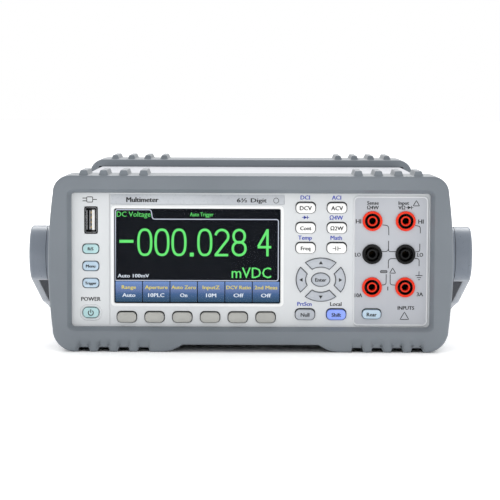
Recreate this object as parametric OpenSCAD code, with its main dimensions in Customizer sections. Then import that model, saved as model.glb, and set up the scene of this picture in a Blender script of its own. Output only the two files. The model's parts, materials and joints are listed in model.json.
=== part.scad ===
// Bench multimeter: a half-rack, 2U-high instrument in a sheet-metal sleeve,
// with rubber bumpers at both ends and a bail handle that folds under the case.
// X runs to the right, Y to the back and Z up. The origin is on the floor,
// under the middle of the overall box.

/* [Case] */
// Width of the sheet-metal case
case_w = 212.8; // [205:0.1:220]
// Height of the sheet-metal case
case_h = 88.3; // [86:0.1:92]
// Depth from the front panel's face to the rear panel's face
case_d = 272.3; // [265:0.1:290]
// Height of the case's underside above the floor
case_lift = 7.7; // [7.5:0.1:9]
// Thickness of the sleeve's sheet metal
sheet = 1.2; // [0.8:0.1:1.6]

/* [Bumpers] */
// Widest part of a bumper, at half its height
bumper_w = 231.2; // [226:0.1:234]
// Height of a bumper without its top ribs
bumper_h = 101; // [99:0.1:103]
// Depth of the front bumper
front_bumper_d = 36; // [30:0.5:40]
// Depth of the rear bumper
rear_bumper_d = 45; // [40:0.5:50]
// How far the front bumper stands out in front of the panel
front_recess = 6; // [5.5:0.1:7]
// How far the rear bumper stands out behind the rear panel
rear_recess = 24.9; // [22:0.1:27]
// Radius of the bumper's four corners
bumper_corner_r = 10; // [7:0.5:12]
// Radius of the bowed sides
side_bow_r = 300; // [250:10:500]

/* [Stacking ribs] */
// Distance from the middle to the outermost rib
rib_x = 95.3; // [92:0.1:97]
// Spacing of the ribs
rib_pitch = 11.4; // [11:0.1:12]
// Number of ribs on each side
rib_n = 4; // [3:1:4]
// Width of a top rib
rib_w = 4.6; // [4:0.1:5.5]
// Height of a top rib
rib_h = 2.8; // [2:0.1:3]
// Width of a groove between the bottom feet
groove_w = 6.4; // [6:0.1:7]
// Height of a groove between the bottom feet
groove_h = 2.4; // [2:0.1:3]

/* [Handle] */
// Outside width over the handle
handle_w = 263.6; // [258:0.1:266]
// Thickness of a handle arm
arm_t = 4; // [3.5:0.1:5]
// Radius of the handle's pivot hub
hub_r = 16.5; // [15:0.1:17]
// Distance from the bumper's face back to the pivot
pivot_depth = 64; // [60:0.5:70]
// Height of the pivot above the floor
pivot_z = 51.5; // [50:0.1:53]
// Width of the hand grip, front to back as it lies folded
grip_w = 28; // [24:0.5:30]
// Thickness of the hand grip
grip_t = 5.8; // [5:0.1:6]
// Height of the folded grip above the floor
grip_lift = 0.8; // [0.6:0.1:1]

/* [Front panel] */
// Width of the display window
screen_w = 95.3; // [90:0.1:97]
// Height of the display window
screen_h = 54.4; // [50:0.1:56]
// Spacing of the input jacks
jack_pitch = 19; // [18.8:0.05:19.2]
// Width of a large key's hole
key_w = 11.8; // [11:0.1:12.4]
// Height of a large key's hole
key_h = 6.9; // [6.2:0.1:7.2]
// Gap around each key
key_gap = 0.3; // [0.2:0.05:0.4]
// How far a large key stands out of the panel
key_proud = 2; // [1.4:0.1:2.2]

/* [Input jacks] */
// Outer radius of a jack
jack_r = 5.7; // [5.5:0.05:5.8]
// Radius of the socket that a test plug enters
socket_r = 2; // [1.95:0.01:2.05]
// Length of the socket's metal wall
socket_len = 13.5; // [12:0.5:14]

/* [Hidden] */
$fn = 64;
e = 0.1;                                    // overshoot of a cutting solid
overall_d = front_recess + case_d + rear_recess;
front = -overall_d / 2;                     // Y of the front bumper's face
panel_d = front_recess;                     // depth of the front panel's face
panel_t = 2.5;                              // thickness of the front panel
panel_skirt_d = 20;                         // depth where its skirt ends
rear_d = front_recess + case_d;             // depth of the rear panel's face
rear_t = 2;                                 // thickness of the rear panel
case_z = case_lift + case_h / 2;            // height of the case's middle
case_r = 3;                                 // bend radius of the sleeve
fit = 0.2;                                  // clearance around the case
opening = [205, 76.8, 52.5, 2];             // front opening: width, height, middle height, radius
rear_opening = [204, 80, case_z, 6];        // rear opening, in the same order
arch_w = 78;                                // flat of the arch between the feet
arch_h = 4.1;                               // height of that arch
arch_ramp = 9;                              // length of the slope at each end of it
rib_margin = 2.5;                           // from a bumper's edges to its ribs
corner_x = bumper_w / 2 - side_bow_r        // half width where a corner meets the bowed side
    + sqrt(pow(side_bow_r, 2) - pow(bumper_h / 2 - bumper_corner_r, 2));
screen_x = -30.6;                           // middle of the display
screen_z = 54.6;
window_t = 1.5;                             // thickness of the clear window
window_rim = 1.6;                           // how far the window reaches under the panel
window_d = panel_d + 1.5;                   // depth of the window's face
plate_t = 0.8;                              // thickness of the terminal plate's rim
plate_ledge = [1.5, 1.5, -1.5, -1.5];       // how far that rim reaches over the panel
terminal_box = [58.8, 15, 101.3, 89.2];     // terminal plate: left, bottom, right, top
name_box = [-80.9, 84.1, 19.4, 90];         // pocket of the name strip
name_pocket = 0.4;                          // depth of that pocket
jack_x = [69.5, 69.5 + jack_pitch];
jack_z = [56.1 + jack_pitch, 56.1, 56.1 - jack_pitch];
jack_hole_r = jack_r + 0.05;
jack_face = 1;                              // how far a jack stands out of its panel
jack_shroud_r = 4.35;                       // inside of the outer ring
jack_post_r = 3.15;                         // outside of the inner ring
jack_mouth_r = 2.3;                         // hole in the inner ring
jack_back = -20;                            // back end of the insulator, from the panel's face
jack_floor = -14;                           // floor of the ring-shaped gap
contact_r = 2.6;                            // outside of the metal socket
contact_front = -4.5;                       // front end of the metal socket
contact_seat = 0.02;                        // clearance of the socket in its insulator
key_flange = 0.8;                           // width of the flange behind the panel
flange_d = panel_d + panel_t + 0.3;         // depth of a key's flange at rest
flange_t = 1.2;
stem_r = 1.5;
stem_end = flange_d + flange_t + 1.6;       // depth of the end of a key's stem
dome_d = stem_end + 1.2;                    // depth of the rubber domes
membrane_d = dome_d + 0.6;                  // depth of the rubber sheet
membrane_t = 0.8;
board_d = membrane_d + membrane_t;          // depth of the keypad board
board_t = 1.6;
usb_x = -91.4;
usb_z = 75.1;
usb_slot = [7.6, 15.6];
usb_shell = [6.8, 14.4];

// Rectangular keys: name, middle X, middle Z, hole width, hole height, corner radius, proud
left_x = -91.6;
small_key = [9.8, 6, 2.2, 1.2];
big_key = [key_w, key_h, 2.7, key_proud];
soft_pitch = 15.92;
PANEL_POSTS = [[-98, 14.5], [-98, 89.4], [23, 89.4], [54.4, 89.4], [54.4, 13.9]];
RECT_KEYS = concat(
    [for (k = [["key_run", 58.7], ["key_menu", 48.8], ["key_trigger", 39]])
        concat([k[0], left_x, k[1]], small_key)],
    [["key_power", left_x, 22, 9.8, 6.6, 3.2, 1.2]],
    [for (i = [0:5]) concat([str("softkey_", i + 1), -71 + soft_pitch * i, 19.6], big_key)],
    [for (k = [["key_dc_volts", 0, 0], ["key_ac_volts", 1, 0], ["key_continuity", 0, 1],
               ["key_ohms", 1, 1], ["key_frequency", 0, 2], ["key_capacitance", 1, 2]])
        concat([k[0], 31.3 + 17.85 * k[1], 82.7 - 11.5 * k[2]], big_key)],
    [concat(["key_null", 31.2, 21.5], big_key), concat(["key_shift", 49.1, 21.5], big_key)],
    [["key_rear", 69.4, 21.8, 11.4, 6.3, 2.6, key_proud]]);

// Arrow keys: name and the angle that each is turned to
nav_x = 40.1;
nav_z = 41.35;
nav_out = [14.35, 12.7];                    // half axes of the ring's outer ellipse
nav_in = [8.4, 7];                          // half axes of its inner ellipse
nav_enter = [5.55, 4.15];                   // half axes of the middle key's hole
nav_proud = 1.6;
nav_split_v = 0.6;                          // diagonal edge of the up and down keys
nav_split_h = 4;                            // diagonal edge of the left and right keys
ARROWS = [["key_up", 0, 1], ["key_down", 0, -1], ["key_right", 1, 0], ["key_left", -1, 0]];

fan_x = -22;
fan_z = 52;
fan_side = 60;
fan_bore_r = 28;
fan_d = rear_d - rear_t - 15;               // depth of the fan's front face
fan_tip_r = 27;
fan_hub_r = 12;
fan_shaft_r = 1.5;
inlet_x = -76;
inlet_z = 38;
inlet_flange = [34, 46, 2.5];
inlet_body = [27.6, 38];
socket_box = [24.2, 16.6, -8.5, 16];        // mains socket: width, height, offset, depth
drawer_box = [26, 9.4, 12, 18.8];           // fuse drawer's slot, in the same order
bnc_x = [26, 44];
bnc_z = 30;
lan = [27, 52, 16, 13.6];                   // network port: X, Z, width, height
usb_b = [47, 52, 12, 11];                   // device port, in the same order
slot_cover = [35, 76, 40, 14];              // option slot's cover, in the same order
fuse_x = 89;
fuse_z = 35;
fuse_hole_r = 6.6;
rear_jack_x = jack_x;
rear_jack_z = jack_z;
PANEL_SCREWS = [[-97, 17], [-97, 87], [97, 17], [97, 87]];
COVER_SCREWS = [for (s = [-1, 1]) [slot_cover[0] + 22.8 * s, slot_cover[1]]];
screw_hole_r = 1.5;
vent_n = 16;
vent_pitch = 6;
vent_size = [2.6, 42];
pivot_y = front + pivot_depth;
pin_r = 6;
pin_gap = 0.08;                             // running clearance of the pivot
hub_in = 121.8;                             // inner face of the handle's hub
hub_bevel = 1.2;
arm_out = handle_w / 2;
arm_in = arm_out - arm_t;
// Arm outline: depth, height and radius of the discs it runs through
ARM = [[pivot_depth, pivot_z, hub_r], [122, 24.8, 9], [160, 16, 7.8],
    [188, grip_lift + 7.2, 7.2]];
grip_y = 188;
grip_corner_r = 9;
board_x = [-42, 96];
board_y = [40, 250];
board_z = 16;

// ---------- shared shapes ----------

// Rectangle with true round corners, centred
module rounded_rect(w, h, r) {
    square([w - 2 * r, h], center = true);
    square([w, h - 2 * r], center = true);
    for (x = [-1, 1], z = [-1, 1])
        translate([x * (w / 2 - r), z * (h / 2 - r)]) circle(r);
}

// The same, given by its left, bottom, right and top
module rounded_box(b, r) {
    translate([(b[0] + b[2]) / 2, (b[1] + b[3]) / 2]) rounded_rect(b[2] - b[0], b[3] - b[1], r);
}

// Extrudes an outline drawn in X and Z from depth d0 to depth d1
module slab(d0, d1) {
    translate([0, front + d1, 0]) rotate([90, 0, 0]) linear_extrude(d1 - d0) children();
}

// Extrudes an outline drawn in depth and Z from x0 to x1
module side_slab(x0, x1) {
    translate([x0, front, 0]) rotate([90, 0, 90]) linear_extrude(x1 - x0) children();
}

// Round bar along Y
module rod(x, z, d0, d1, r) {
    translate([x, front + d0, z]) rotate([-90, 0, 0]) cylinder(h = d1 - d0, r = r);
}

// Block from one corner to the other, in X, depth and Z
module block(a, b) {
    translate([a[0], front + a[1], a[2]]) cube([b[0] - a[0], b[1] - a[1], b[2] - a[2]]);
}

// ---------- bumpers ----------

// Outline of a bumper: bowed sides between four round corners
module bumper_outline() {
    translate([0, bumper_h / 2]) {
        rounded_rect(2 * corner_x, bumper_h, bumper_corner_r);
        intersection() {
            square([bumper_w, bumper_h - 2 * bumper_corner_r], center = true);
            translate([bumper_w / 2 - side_bow_r, 0]) circle(side_bow_r);
            translate([side_bow_r - bumper_w / 2, 0]) circle(side_bow_r);
        }
    }
}

// What is cut away between the feet: an arch in the middle and grooves at the sides
module feet_gaps() {
    polygon([[-arch_w / 2 - arch_ramp, -e], [-arch_w / 2 - arch_ramp, 0], [-arch_w / 2, arch_h],
        [arch_w / 2, arch_h], [arch_w / 2 + arch_ramp, 0], [arch_w / 2 + arch_ramp, -e]]);
    for (s = [-1, 1], i = [0:rib_n - 1])
        translate([s * (rib_x - i * rib_pitch), groove_h / 2 - e])
            square([groove_w, groove_h + 2 * e], center = true);
}

// Stacking ribs on top of a bumper
module top_ribs(d0, d1) {
    for (s = [-1, 1], i = [0:rib_n - 1])
        slab(d0 + rib_margin, d1 - rib_margin)
            translate([s * (rib_x - i * rib_pitch), bumper_h + rib_h / 2 - e])
                square([rib_w, rib_h + 2 * e], center = true);
}

// A bumper from depth d0 to d1, hollow for the case from c0 to c1, with a through opening o
module bumper(d0, d1, c0, c1, o) {
    difference() {
        union() {
            slab(d0, d1) bumper_outline();
            top_ribs(d0, d1);
        }
        slab(c0, c1) translate([0, case_z]) square([case_w + 2 * fit, case_h + 2 * fit], center = true);
        slab(d0 - e, d1 + e) translate([0, o[2]]) rounded_rect(o[0], o[1], o[3]);
        slab(d0 - e, d1 + e) feet_gaps();
    }
}

module front_bumper() {
    color("#8c9199") bumper(0, front_bumper_d, front_recess, front_bumper_d + e, opening);
}

module rear_bumper() {
    color("#8c9199") bumper(overall_d - rear_bumper_d, overall_d,
        overall_d - rear_bumper_d - e, rear_d + e, rear_opening);
}

// ---------- case ----------

module case_outline(inset) {
    translate([0, case_z])
        rounded_rect(case_w - 2 * inset, case_h - 2 * inset, case_r - min(inset, case_r - 1));
}

module case_sleeve() {
    color("#e6e6ea") difference() {
        slab(panel_skirt_d, rear_d - rear_t) case_outline(0);
        slab(panel_skirt_d - e, rear_d - rear_t + e) case_outline(sheet);
        for (s = [-1, 1], i = [0:vent_n - 1])
            block([s * case_w / 2 - 2, 150 + i * vent_pitch, case_z - vent_size[1] / 2],
                [s * case_w / 2 + 2, 150 + i * vent_pitch + vent_size[0], case_z + vent_size[1] / 2]);
    }
}

module chassis_tray() {
    low = case_lift + sheet;
    half = case_w / 2 - sheet - 2;
    color("#b8bcc2") {
        block([-half, 24, low], [half, 264, low + 1]);
        for (s = [-1, 1]) block([s * half - 0.5 - s * 0.5, 24, low], [s * half + 0.5 - s * 0.5, 264, 34]);
        block([-half, 24, low], [half, 25, 18]);
        block([-half, 255, low], [half, 256, 15]);
    }
}

module rear_panel() {
    color("#d9dade") difference() {
        union() {
            slab(rear_d - rear_t, rear_d) case_outline(0);
            slab(rear_d - rear_t - 6, rear_d - rear_t + e) case_outline(sheet + 0.2);
        }
        slab(rear_d - rear_t - 6 - e, rear_d - rear_t) case_outline(sheet + 1.2);
        rod(fan_x, fan_z, rear_d - rear_t - e, rear_d + e, fan_bore_r);
        slab(rear_d - rear_t - e, rear_d + e) {
            translate([inlet_x, inlet_z]) square([inlet_body[0] + 0.4, inlet_body[1] + 0.4], center = true);
            for (p = [lan, usb_b]) translate([p[0], p[1]]) square([p[2] + 0.4, p[3] + 0.4], center = true);
            translate([slot_cover[0], slot_cover[1]]) square([slot_cover[2] - 6, slot_cover[3] - 3], center = true);
        }
        for (x = bnc_x) rod(x, bnc_z, rear_d - rear_t - e, rear_d + e, 5.05);
        for (p = rear_jacks()) rod(p[0], p[1], rear_d - rear_t - e, rear_d + e, jack_hole_r);
        rod(fuse_x, fuse_z, rear_d - rear_t - e, rear_d + e, fuse_hole_r + 0.1);
        for (p = concat(PANEL_SCREWS, COVER_SCREWS, fan_corners()))
            rod(p[0], p[1], rear_d - rear_t - e, rear_d + e, screw_hole_r);
    }
}

// ---------- front panel ----------

// Rounded rectangle of a key, grown by g
module key_outline(k, g) {
    translate([k[1], k[2]]) rounded_rect(k[3] + 2 * g, k[4] + 2 * g, k[5] + g);
}

// Points along an ellipse with half axes a, from angle t0 to t1
function ellipse_arc(a, t0, t1, n) = [for (i = [0:n]) let (t = t0 + (t1 - t0) * i / n)
    [a[0] * cos(t), a[1] * sin(t)]];

// Angle at which the ellipse meets the line z = x + c
function diagonal_angle(a, c) = atan2(a[0], a[1]) + asin(c / sqrt(a[0] * a[0] + a[1] * a[1]));

// Outline of the upper or lower arrow key, shrunk by g
module nav_vertical(s, g) {
    o = nav_out - [g, g];
    i = nav_in + [g, g];
    to = diagonal_angle(o, nav_split_v + g * sqrt(2));
    ti = diagonal_angle(i, nav_split_v + g * sqrt(2));
    translate([nav_x, nav_z]) scale([1, s]) polygon(concat(
        ellipse_arc(o, to, 180 - to, 16), ellipse_arc(i, 180 - ti, ti, 10)));
}

// Outline of the right or left arrow key, shrunk by g
module nav_horizontal(s, g) {
    o = nav_out - [g, g];
    i = nav_in + [g, g];
    to = diagonal_angle(o, -nav_split_h - g * sqrt(2));
    ti = diagonal_angle(i, -nav_split_h - g * sqrt(2));
    translate([nav_x, nav_z]) scale([s, 1]) polygon(concat(
        ellipse_arc(o, -to, to, 14), ellipse_arc(i, ti, -ti, 8)));
}

module nav_outline(k, g) {
    if (k[1] == 0) nav_vertical(k[2], g);
    else nav_horizontal(k[1], g);
}

module enter_outline(g) {
    translate([nav_x, nav_z]) polygon(ellipse_arc(nav_enter - [g, g], 0, 351, 39));
}

module front_panel() {
    color("#d8d9de") for (p = PANEL_POSTS) rod(p[0], p[1], panel_d + panel_t - e, membrane_d, 2);
    color("#d8d9de") difference() {
        slab(panel_d, panel_skirt_d) case_outline(0);
        slab(panel_d + panel_t, panel_skirt_d + e) case_outline(2);
        slab(panel_d - e, panel_d + panel_t + e) {
            for (k = RECT_KEYS) key_outline(k, 0);
            for (k = ARROWS) nav_outline(k, 0);
            enter_outline(0);
            translate([usb_x, usb_z]) square(usb_slot, center = true);
            translate([screen_x, screen_z]) rounded_rect(screen_w, screen_h, 1);
        }
        slab(window_d, panel_d + panel_t + e) translate([screen_x, screen_z])
            square([screen_w + 2 * window_rim + 0.4, screen_h + 2 * window_rim + 0.4], center = true);
        slab(panel_d - e, panel_d + plate_t) rounded_box(terminal_box, 2.5);
        slab(panel_d - e, panel_d + panel_t + e) rounded_box(terminal_box + plate_ledge, 1.5);
        slab(panel_d - e, panel_d + name_pocket) rounded_box(name_box, 1.2);
    }
}

// Plate that carries the input jacks: a thin rim on a body that fills the panel's window
module terminal_plate() {
    slack = [0.1, 0.1, -0.1, -0.1];
    color("#c3c6cc") difference() {
        union() {
            slab(panel_d, panel_d + plate_t) rounded_box(terminal_box + slack, 2.4);
            slab(panel_d + plate_t - e, panel_d + panel_t)
                rounded_box(terminal_box + plate_ledge + slack, 1.4);
        }
        slab(panel_d - e, panel_d + panel_t + e) {
            key_outline(RECT_KEYS[len(RECT_KEYS) - 1], 0);
            for (x = jack_x, z = jack_z) translate([x, z]) circle(jack_hole_r);
        }
    }
}

module display_window() {
    color("#20242c") slab(window_d, window_d + window_t) translate([screen_x, screen_z])
        square([screen_w + 2 * window_rim, screen_h + 2 * window_rim], center = true);
}

module display_module() {
    color("#30343c") slab(window_d + window_t, board_d) translate([screen_x, screen_z])
        square([101.5, 60], center = true);
}

// ---------- keys ----------

// A key: cap, flange behind the panel and stem, from its outline shrunk by a gap
module rect_key(k) {
    long = k[0] == "key_rear";
    slab(panel_d - k[6], flange_d + flange_t) key_outline(k, -key_gap);
    slab(flange_d, flange_d + flange_t) key_outline(k, key_flange - key_gap);
    rod(k[1], k[2], flange_d, long ? 34 : stem_end, stem_r);
}

module arrow_key(k) {
    x = nav_x + k[1] * (nav_out[0] + nav_in[0]) / 2;
    z = nav_z + k[2] * (nav_out[1] + nav_in[1]) / 2;
    color("#b9bcc4") {
        slab(panel_d - nav_proud, flange_d + flange_t) nav_outline(k, key_gap);
        slab(flange_d, flange_d + flange_t) nav_outline(k, key_gap - key_flange);
        rod(x, z, flange_d, stem_end, stem_r);
    }
}

module key_enter() {
    color("#b9bcc4") {
        slab(panel_d - nav_proud, flange_d + flange_t) enter_outline(key_gap);
        slab(flange_d, flange_d + flange_t) enter_outline(key_gap - key_flange);
        rod(nav_x, nav_z, flange_d, stem_end, stem_r);
    }
}

// Colour of a key, by its name
function key_colour(n) = n == "key_shift" ? "#7c9cf0"
    : n == "key_null" ? "#b9bcc4"
    : n[0] == "s" ? "#a3a49f"
    : n == "key_rear" || n == "key_run" || n == "key_menu" || n == "key_trigger" || n == "key_power"
        ? "#cfe6f2" : "#f6f6f4";

// Middles of all the keys that press a rubber dome
function dome_centres() = concat(
    [for (k = RECT_KEYS) if (k[0] != "key_rear") [k[1], k[2]]],
    [for (k = ARROWS) [nav_x + k[1] * (nav_out[0] + nav_in[0]) / 2,
        nav_z + k[2] * (nav_out[1] + nav_in[1]) / 2]],
    [[nav_x, nav_z]]);

// Outline shared by the rubber sheet and the keypad board, clear of the jacks
module board_outline() {
    difference() {
        translate([(57 - 101) / 2, case_z]) square([57 + 101, 80], center = true);
        translate([usb_x, usb_z]) square([usb_slot[0] + 1.6, usb_slot[1] + 1.6], center = true);
        children();
    }
}

module key_membrane() {
    color("#7a7f86") {
        slab(membrane_d, membrane_d + membrane_t) board_outline()
            translate([screen_x, screen_z]) square([103, 61], center = true);
        for (p = dome_centres()) rod(p[0], p[1], dome_d, membrane_d + e, 2.4);
    }
}

module keypad_board() {
    color("#2f6b3f") slab(board_d, board_d + board_t) board_outline();
}

// ---------- sockets ----------

module usb_host_port() {
    color("#c9ccd0") {
        difference() {
            slab(panel_d + 0.4, board_d + 5) translate([usb_x, usb_z]) square(usb_shell, center = true);
            slab(panel_d, board_d + 4) translate([usb_x, usb_z])
                square([usb_shell[0] - 0.8, usb_shell[1] - 0.8], center = true);
        }
        slab(panel_d + 1.2, board_d + 4.5) translate([usb_x - 1, usb_z]) square([1.9, 11.4], center = true);
        slab(board_d + board_t, board_d + 5) difference() {
            translate([usb_x, usb_z]) square([usb_slot[0] + 5, usb_slot[1] + 5], center = true);
            translate([usb_x, usb_z]) square(usb_shell - [0.4, 0.4], center = true);
        }
    }
}

// Insulator of a jack; Z = 0 is the panel's face and +Z points out of it
module jack_insulator() {
    difference() {
        translate([0, 0, jack_back]) cylinder(h = jack_face - jack_back, r = jack_r);
        difference() {
            translate([0, 0, jack_floor]) cylinder(h = jack_face - jack_floor + e, r = jack_shroud_r);
            translate([0, 0, jack_floor - e]) cylinder(h = jack_face - jack_floor + 3 * e, r = jack_post_r);
        }
        translate([0, 0, contact_front - e]) cylinder(h = jack_face - contact_front + 2 * e, r = jack_mouth_r);
        translate([0, 0, jack_back - e]) cylinder(h = contact_front - jack_back + e, r = contact_r + contact_seat);
    }
}

// Metal socket inside a jack, with its solder tail
module jack_contact() {
    bottom = contact_front - socket_len;
    difference() {
        translate([0, 0, bottom - 1]) cylinder(h = socket_len + 1, r = contact_r);
        translate([0, 0, bottom]) cylinder(h = socket_len + e, r = socket_r);
    }
    translate([0, 0, bottom - 8]) cylinder(h = 7.5, r = 1);
}

// Nut behind a panel of thickness t
module jack_nut(t) {
    translate([0, 0, -t - 3.6]) difference() {
        cylinder(h = 3.6, r = 8, $fn = 6);
        translate([0, 0, -e]) cylinder(h = 3.6 + 2 * e, r = jack_r + 0.02);
    }
}

// Places a jack part on the front panel or on the rear panel
module on_front(x, z) {
    translate([x, front + panel_d, z]) rotate([90, 0, 0]) children();
}

module on_rear(x, z) {
    translate([x, front + rear_d, z]) rotate([-90, 0, 0]) children();
}

// Rear jacks: the two pairs at the top and the current jack below
function rear_jacks() = [[rear_jack_x[0], rear_jack_z[0]], [rear_jack_x[1], rear_jack_z[0]],
    [rear_jack_x[0], rear_jack_z[1]], [rear_jack_x[1], rear_jack_z[1]],
    [rear_jack_x[0], rear_jack_z[2]]];

module jacks_red() {
    color("#e8401c") {
        for (x = jack_x, z = [jack_z[0], jack_z[2]]) on_front(x, z) jack_insulator();
        for (i = [0, 1, 4]) on_rear(rear_jacks()[i][0], rear_jacks()[i][1]) jack_insulator();
    }
}

module jacks_black() {
    color("#1b1c1f") {
        for (x = jack_x) on_front(x, jack_z[1]) jack_insulator();
        for (i = [2, 3]) on_rear(rear_jacks()[i][0], rear_jacks()[i][1]) jack_insulator();
    }
}

module jack_contacts() {
    color("#c9b26a") {
        for (x = jack_x, z = jack_z) on_front(x, z) jack_contact();
        for (p = rear_jacks()) on_rear(p[0], p[1]) jack_contact();
    }
}

module jack_nuts() {
    color("#b8bcc2") {
        for (x = jack_x, z = jack_z) on_front(x, z) jack_nut(panel_t);
        for (p = rear_jacks()) on_rear(p[0], p[1]) jack_nut(rear_t);
    }
}

// ---------- handle ----------

// Side outline of an arm: a chain of discs joined by straight sides
module arm_outline() {
    for (i = [0:len(ARM) - 2]) hull() {
        translate([ARM[i][0], ARM[i][1]]) circle(ARM[i][2], $fn = 48);
        translate([ARM[i + 1][0], ARM[i + 1][1]]) circle(ARM[i + 1][2], $fn = 48);
    }
}

// Front outline of the handle, rounded where the arms turn into the grip
module handle_frame(inset, r) {
    top = 120;
    translate([0, (top + grip_lift) / 2 + inset])
        rounded_rect(handle_w - 2 * inset, top - grip_lift, r);
}

module handle_hub(s) {
    translate([s * hub_in, pivot_y, pivot_z]) rotate([0, s * 90, 0]) {
        cylinder(h = arm_out - hub_in - hub_bevel, r = hub_r);
        translate([0, 0, arm_out - hub_in - hub_bevel])
            cylinder(h = hub_bevel, r1 = hub_r, r2 = hub_r - 2 * hub_bevel);
    }
}

module handle() {
    color("#8f949c") difference() {
        union() {
            for (s = [-1, 1]) {
                handle_hub(s);
                intersection() {
                    side_slab(s > 0 ? arm_in : -arm_out, s > 0 ? arm_out : -arm_in) arm_outline();
                    slab(pivot_depth - 2, overall_d) handle_frame(0, grip_corner_r);
                }
            }
            difference() {
                slab(grip_y - grip_w / 2, grip_y + grip_w / 2) intersection() {
                    handle_frame(0, grip_corner_r);
                    translate([0, 7]) square([handle_w + 2, 14], center = true);
                }
                slab(grip_y - grip_w, grip_y + grip_w) translate([0, grip_t - arm_t])
                    handle_frame(arm_t, grip_corner_r - arm_t);
            }
        }
        for (s = [-1, 1]) translate([s * (hub_in - e), pivot_y, pivot_z]) rotate([0, s * 90, 0])
            cylinder(h = 6.3, r = pin_r + pin_gap);
    }
}

// Boss on the side of the case, with the pin that the handle turns on
module handle_mount(s) {
    color("#8f949c") translate([s * case_w / 2, pivot_y, pivot_z]) rotate([0, s * 90, 0]) {
        cylinder(h = hub_in - 0.2 - case_w / 2, r = hub_r - 0.2);
        cylinder(h = hub_in + 5.8 - case_w / 2, r = pin_r);
    }
}

// ---------- rear panel parts ----------

module mains_inlet() {
    z0 = rear_d + inlet_flange[2];
    color("#26272b") difference() {
        union() {
            slab(rear_d, z0) translate([inlet_x, inlet_z]) rounded_rect(inlet_flange[0], inlet_flange[1], 3);
            slab(rear_d - 20, rear_d + e) translate([inlet_x, inlet_z]) square(inlet_body, center = true);
        }
        slab(z0 - socket_box[3], z0 + e) translate([inlet_x, inlet_z + socket_box[2]])
            polygon([[-12.1, -8.3], [12.1, -8.3], [12.1, 4.3], [8.1, 8.3], [-8.1, 8.3], [-12.1, 4.3]]);
        slab(z0 - drawer_box[3], z0 + e) translate([inlet_x, inlet_z + drawer_box[2]])
            square([drawer_box[0], drawer_box[1]], center = true);
    }
}

module mains_inlet_pins() {
    z0 = rear_d + inlet_flange[2] - socket_box[3];
    color("#c9ccd0") for (p = [[-7, -2], [7, -2], [0, 2]])
        slab(z0, z0 + 13.5) translate([inlet_x + p[0], inlet_z + socket_box[2] + p[1]])
            square([2, 4], center = true);
}

module fuse_drawer() {
    z0 = rear_d + inlet_flange[2];
    color("#2e3035") {
        slab(z0 - drawer_box[3] + 0.3, z0 + 0.8) translate([inlet_x, inlet_z + drawer_box[2]])
            square([drawer_box[0] - 0.4, drawer_box[1] - 0.4], center = true);
        slab(z0 + 0.8 - e, z0 + 2) translate([inlet_x, inlet_z + drawer_box[2]])
            square([8, 3], center = true);
    }
}

module fan_frame() {
    color("#2a2b2f") {
        difference() {
            slab(fan_d, fan_d + 15) translate([fan_x, fan_z]) rounded_rect(fan_side, fan_side, 4);
            slab(fan_d - e, fan_d + 15 + e) {
                translate([fan_x, fan_z]) circle(fan_bore_r);
                for (p = fan_corners()) translate([p[0], p[1]]) circle(screw_hole_r);
            }
        }
        slab(fan_d + 12.5, fan_d + 14.5) translate([fan_x, fan_z]) {
            circle(fan_hub_r - 1);
            for (a = [30, 150, 270]) rotate(a) translate([0, -2]) square([fan_bore_r + 1, 4]);
        }
        rod(fan_x, fan_z, fan_d + 3, fan_d + 12.5 + e, fan_shaft_r);
    }
}

// Middles of the four screw holes in the fan's corners
function fan_corners() = [for (x = [-1, 1], z = [-1, 1]) [fan_x + 25 * x, fan_z + 25 * z]];

module fan_rotor() {
    color("#3a3b40") difference() {
        union() {
            rod(fan_x, fan_z, fan_d + 1.5, fan_d + 11.5, fan_hub_r);
            intersection() {
                rod(fan_x, fan_z, fan_d + 2, fan_d + 11, fan_tip_r);
                for (i = [0:6]) translate([fan_x, front + fan_d + 6.5, fan_z]) rotate([0, i * 360 / 7, 0])
                    rotate([40, 0, 0]) translate([fan_hub_r - 2, -6.5, -0.7]) cube([20, 13, 1.4]);
            }
        }
        rod(fan_x, fan_z, fan_d + 2.5, fan_d + 12, fan_shaft_r + 0.06);
    }
}

module fan_guard() {
    color("#c9ccd0") {
        for (r = [8, 14, 20, 26]) translate([fan_x, front + rear_d + 1.1, fan_z]) rotate([90, 0, 0])
            rotate_extrude() translate([r, 0]) circle(0.9);
        for (a = [45, 135, 225, 315]) translate([fan_x, front + rear_d, fan_z]) rotate([0, a, 0])
            translate([7, 0, -1]) cube([25.4, 1.4, 2]);
    }
}

module bnc_connectors() {
    color("#c9ccd0") for (x = bnc_x) on_rear(x, bnc_z) {
        difference() {
            union() {
                cylinder(h = 2, r = 7, $fn = 6);
                translate([0, 0, -8]) cylinder(h = 22, r = 4.8);
                translate([-5.5, -1, 9]) cube([11, 2, 2]);
            }
            translate([0, 0, 4]) cylinder(h = 11, r = 4);
        }
        translate([0, 0, 3.5]) cylinder(h = 8, r = 2);
    }
}

module data_ports() {
    color("#b8bcc2") {
        difference() {
            slab(rear_d - 14, rear_d + 0.6) translate([lan[0], lan[1]]) square([lan[2], lan[3]], center = true);
            slab(rear_d - 12, rear_d + 1) translate([lan[0], lan[1] - 0.6]) square([11.8, 8], center = true);
        }
        difference() {
            slab(rear_d - 14, rear_d + 0.6) translate([usb_b[0], usb_b[1]]) square([usb_b[2], usb_b[3]], center = true);
            slab(rear_d - 10, rear_d + 1) translate([usb_b[0], usb_b[1]]) square([8.5, 7.8], center = true);
        }
        slab(rear_d - 10.5, rear_d - 1) translate([usb_b[0], usb_b[1]]) square([5.6, 3.2], center = true);
    }
}

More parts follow.
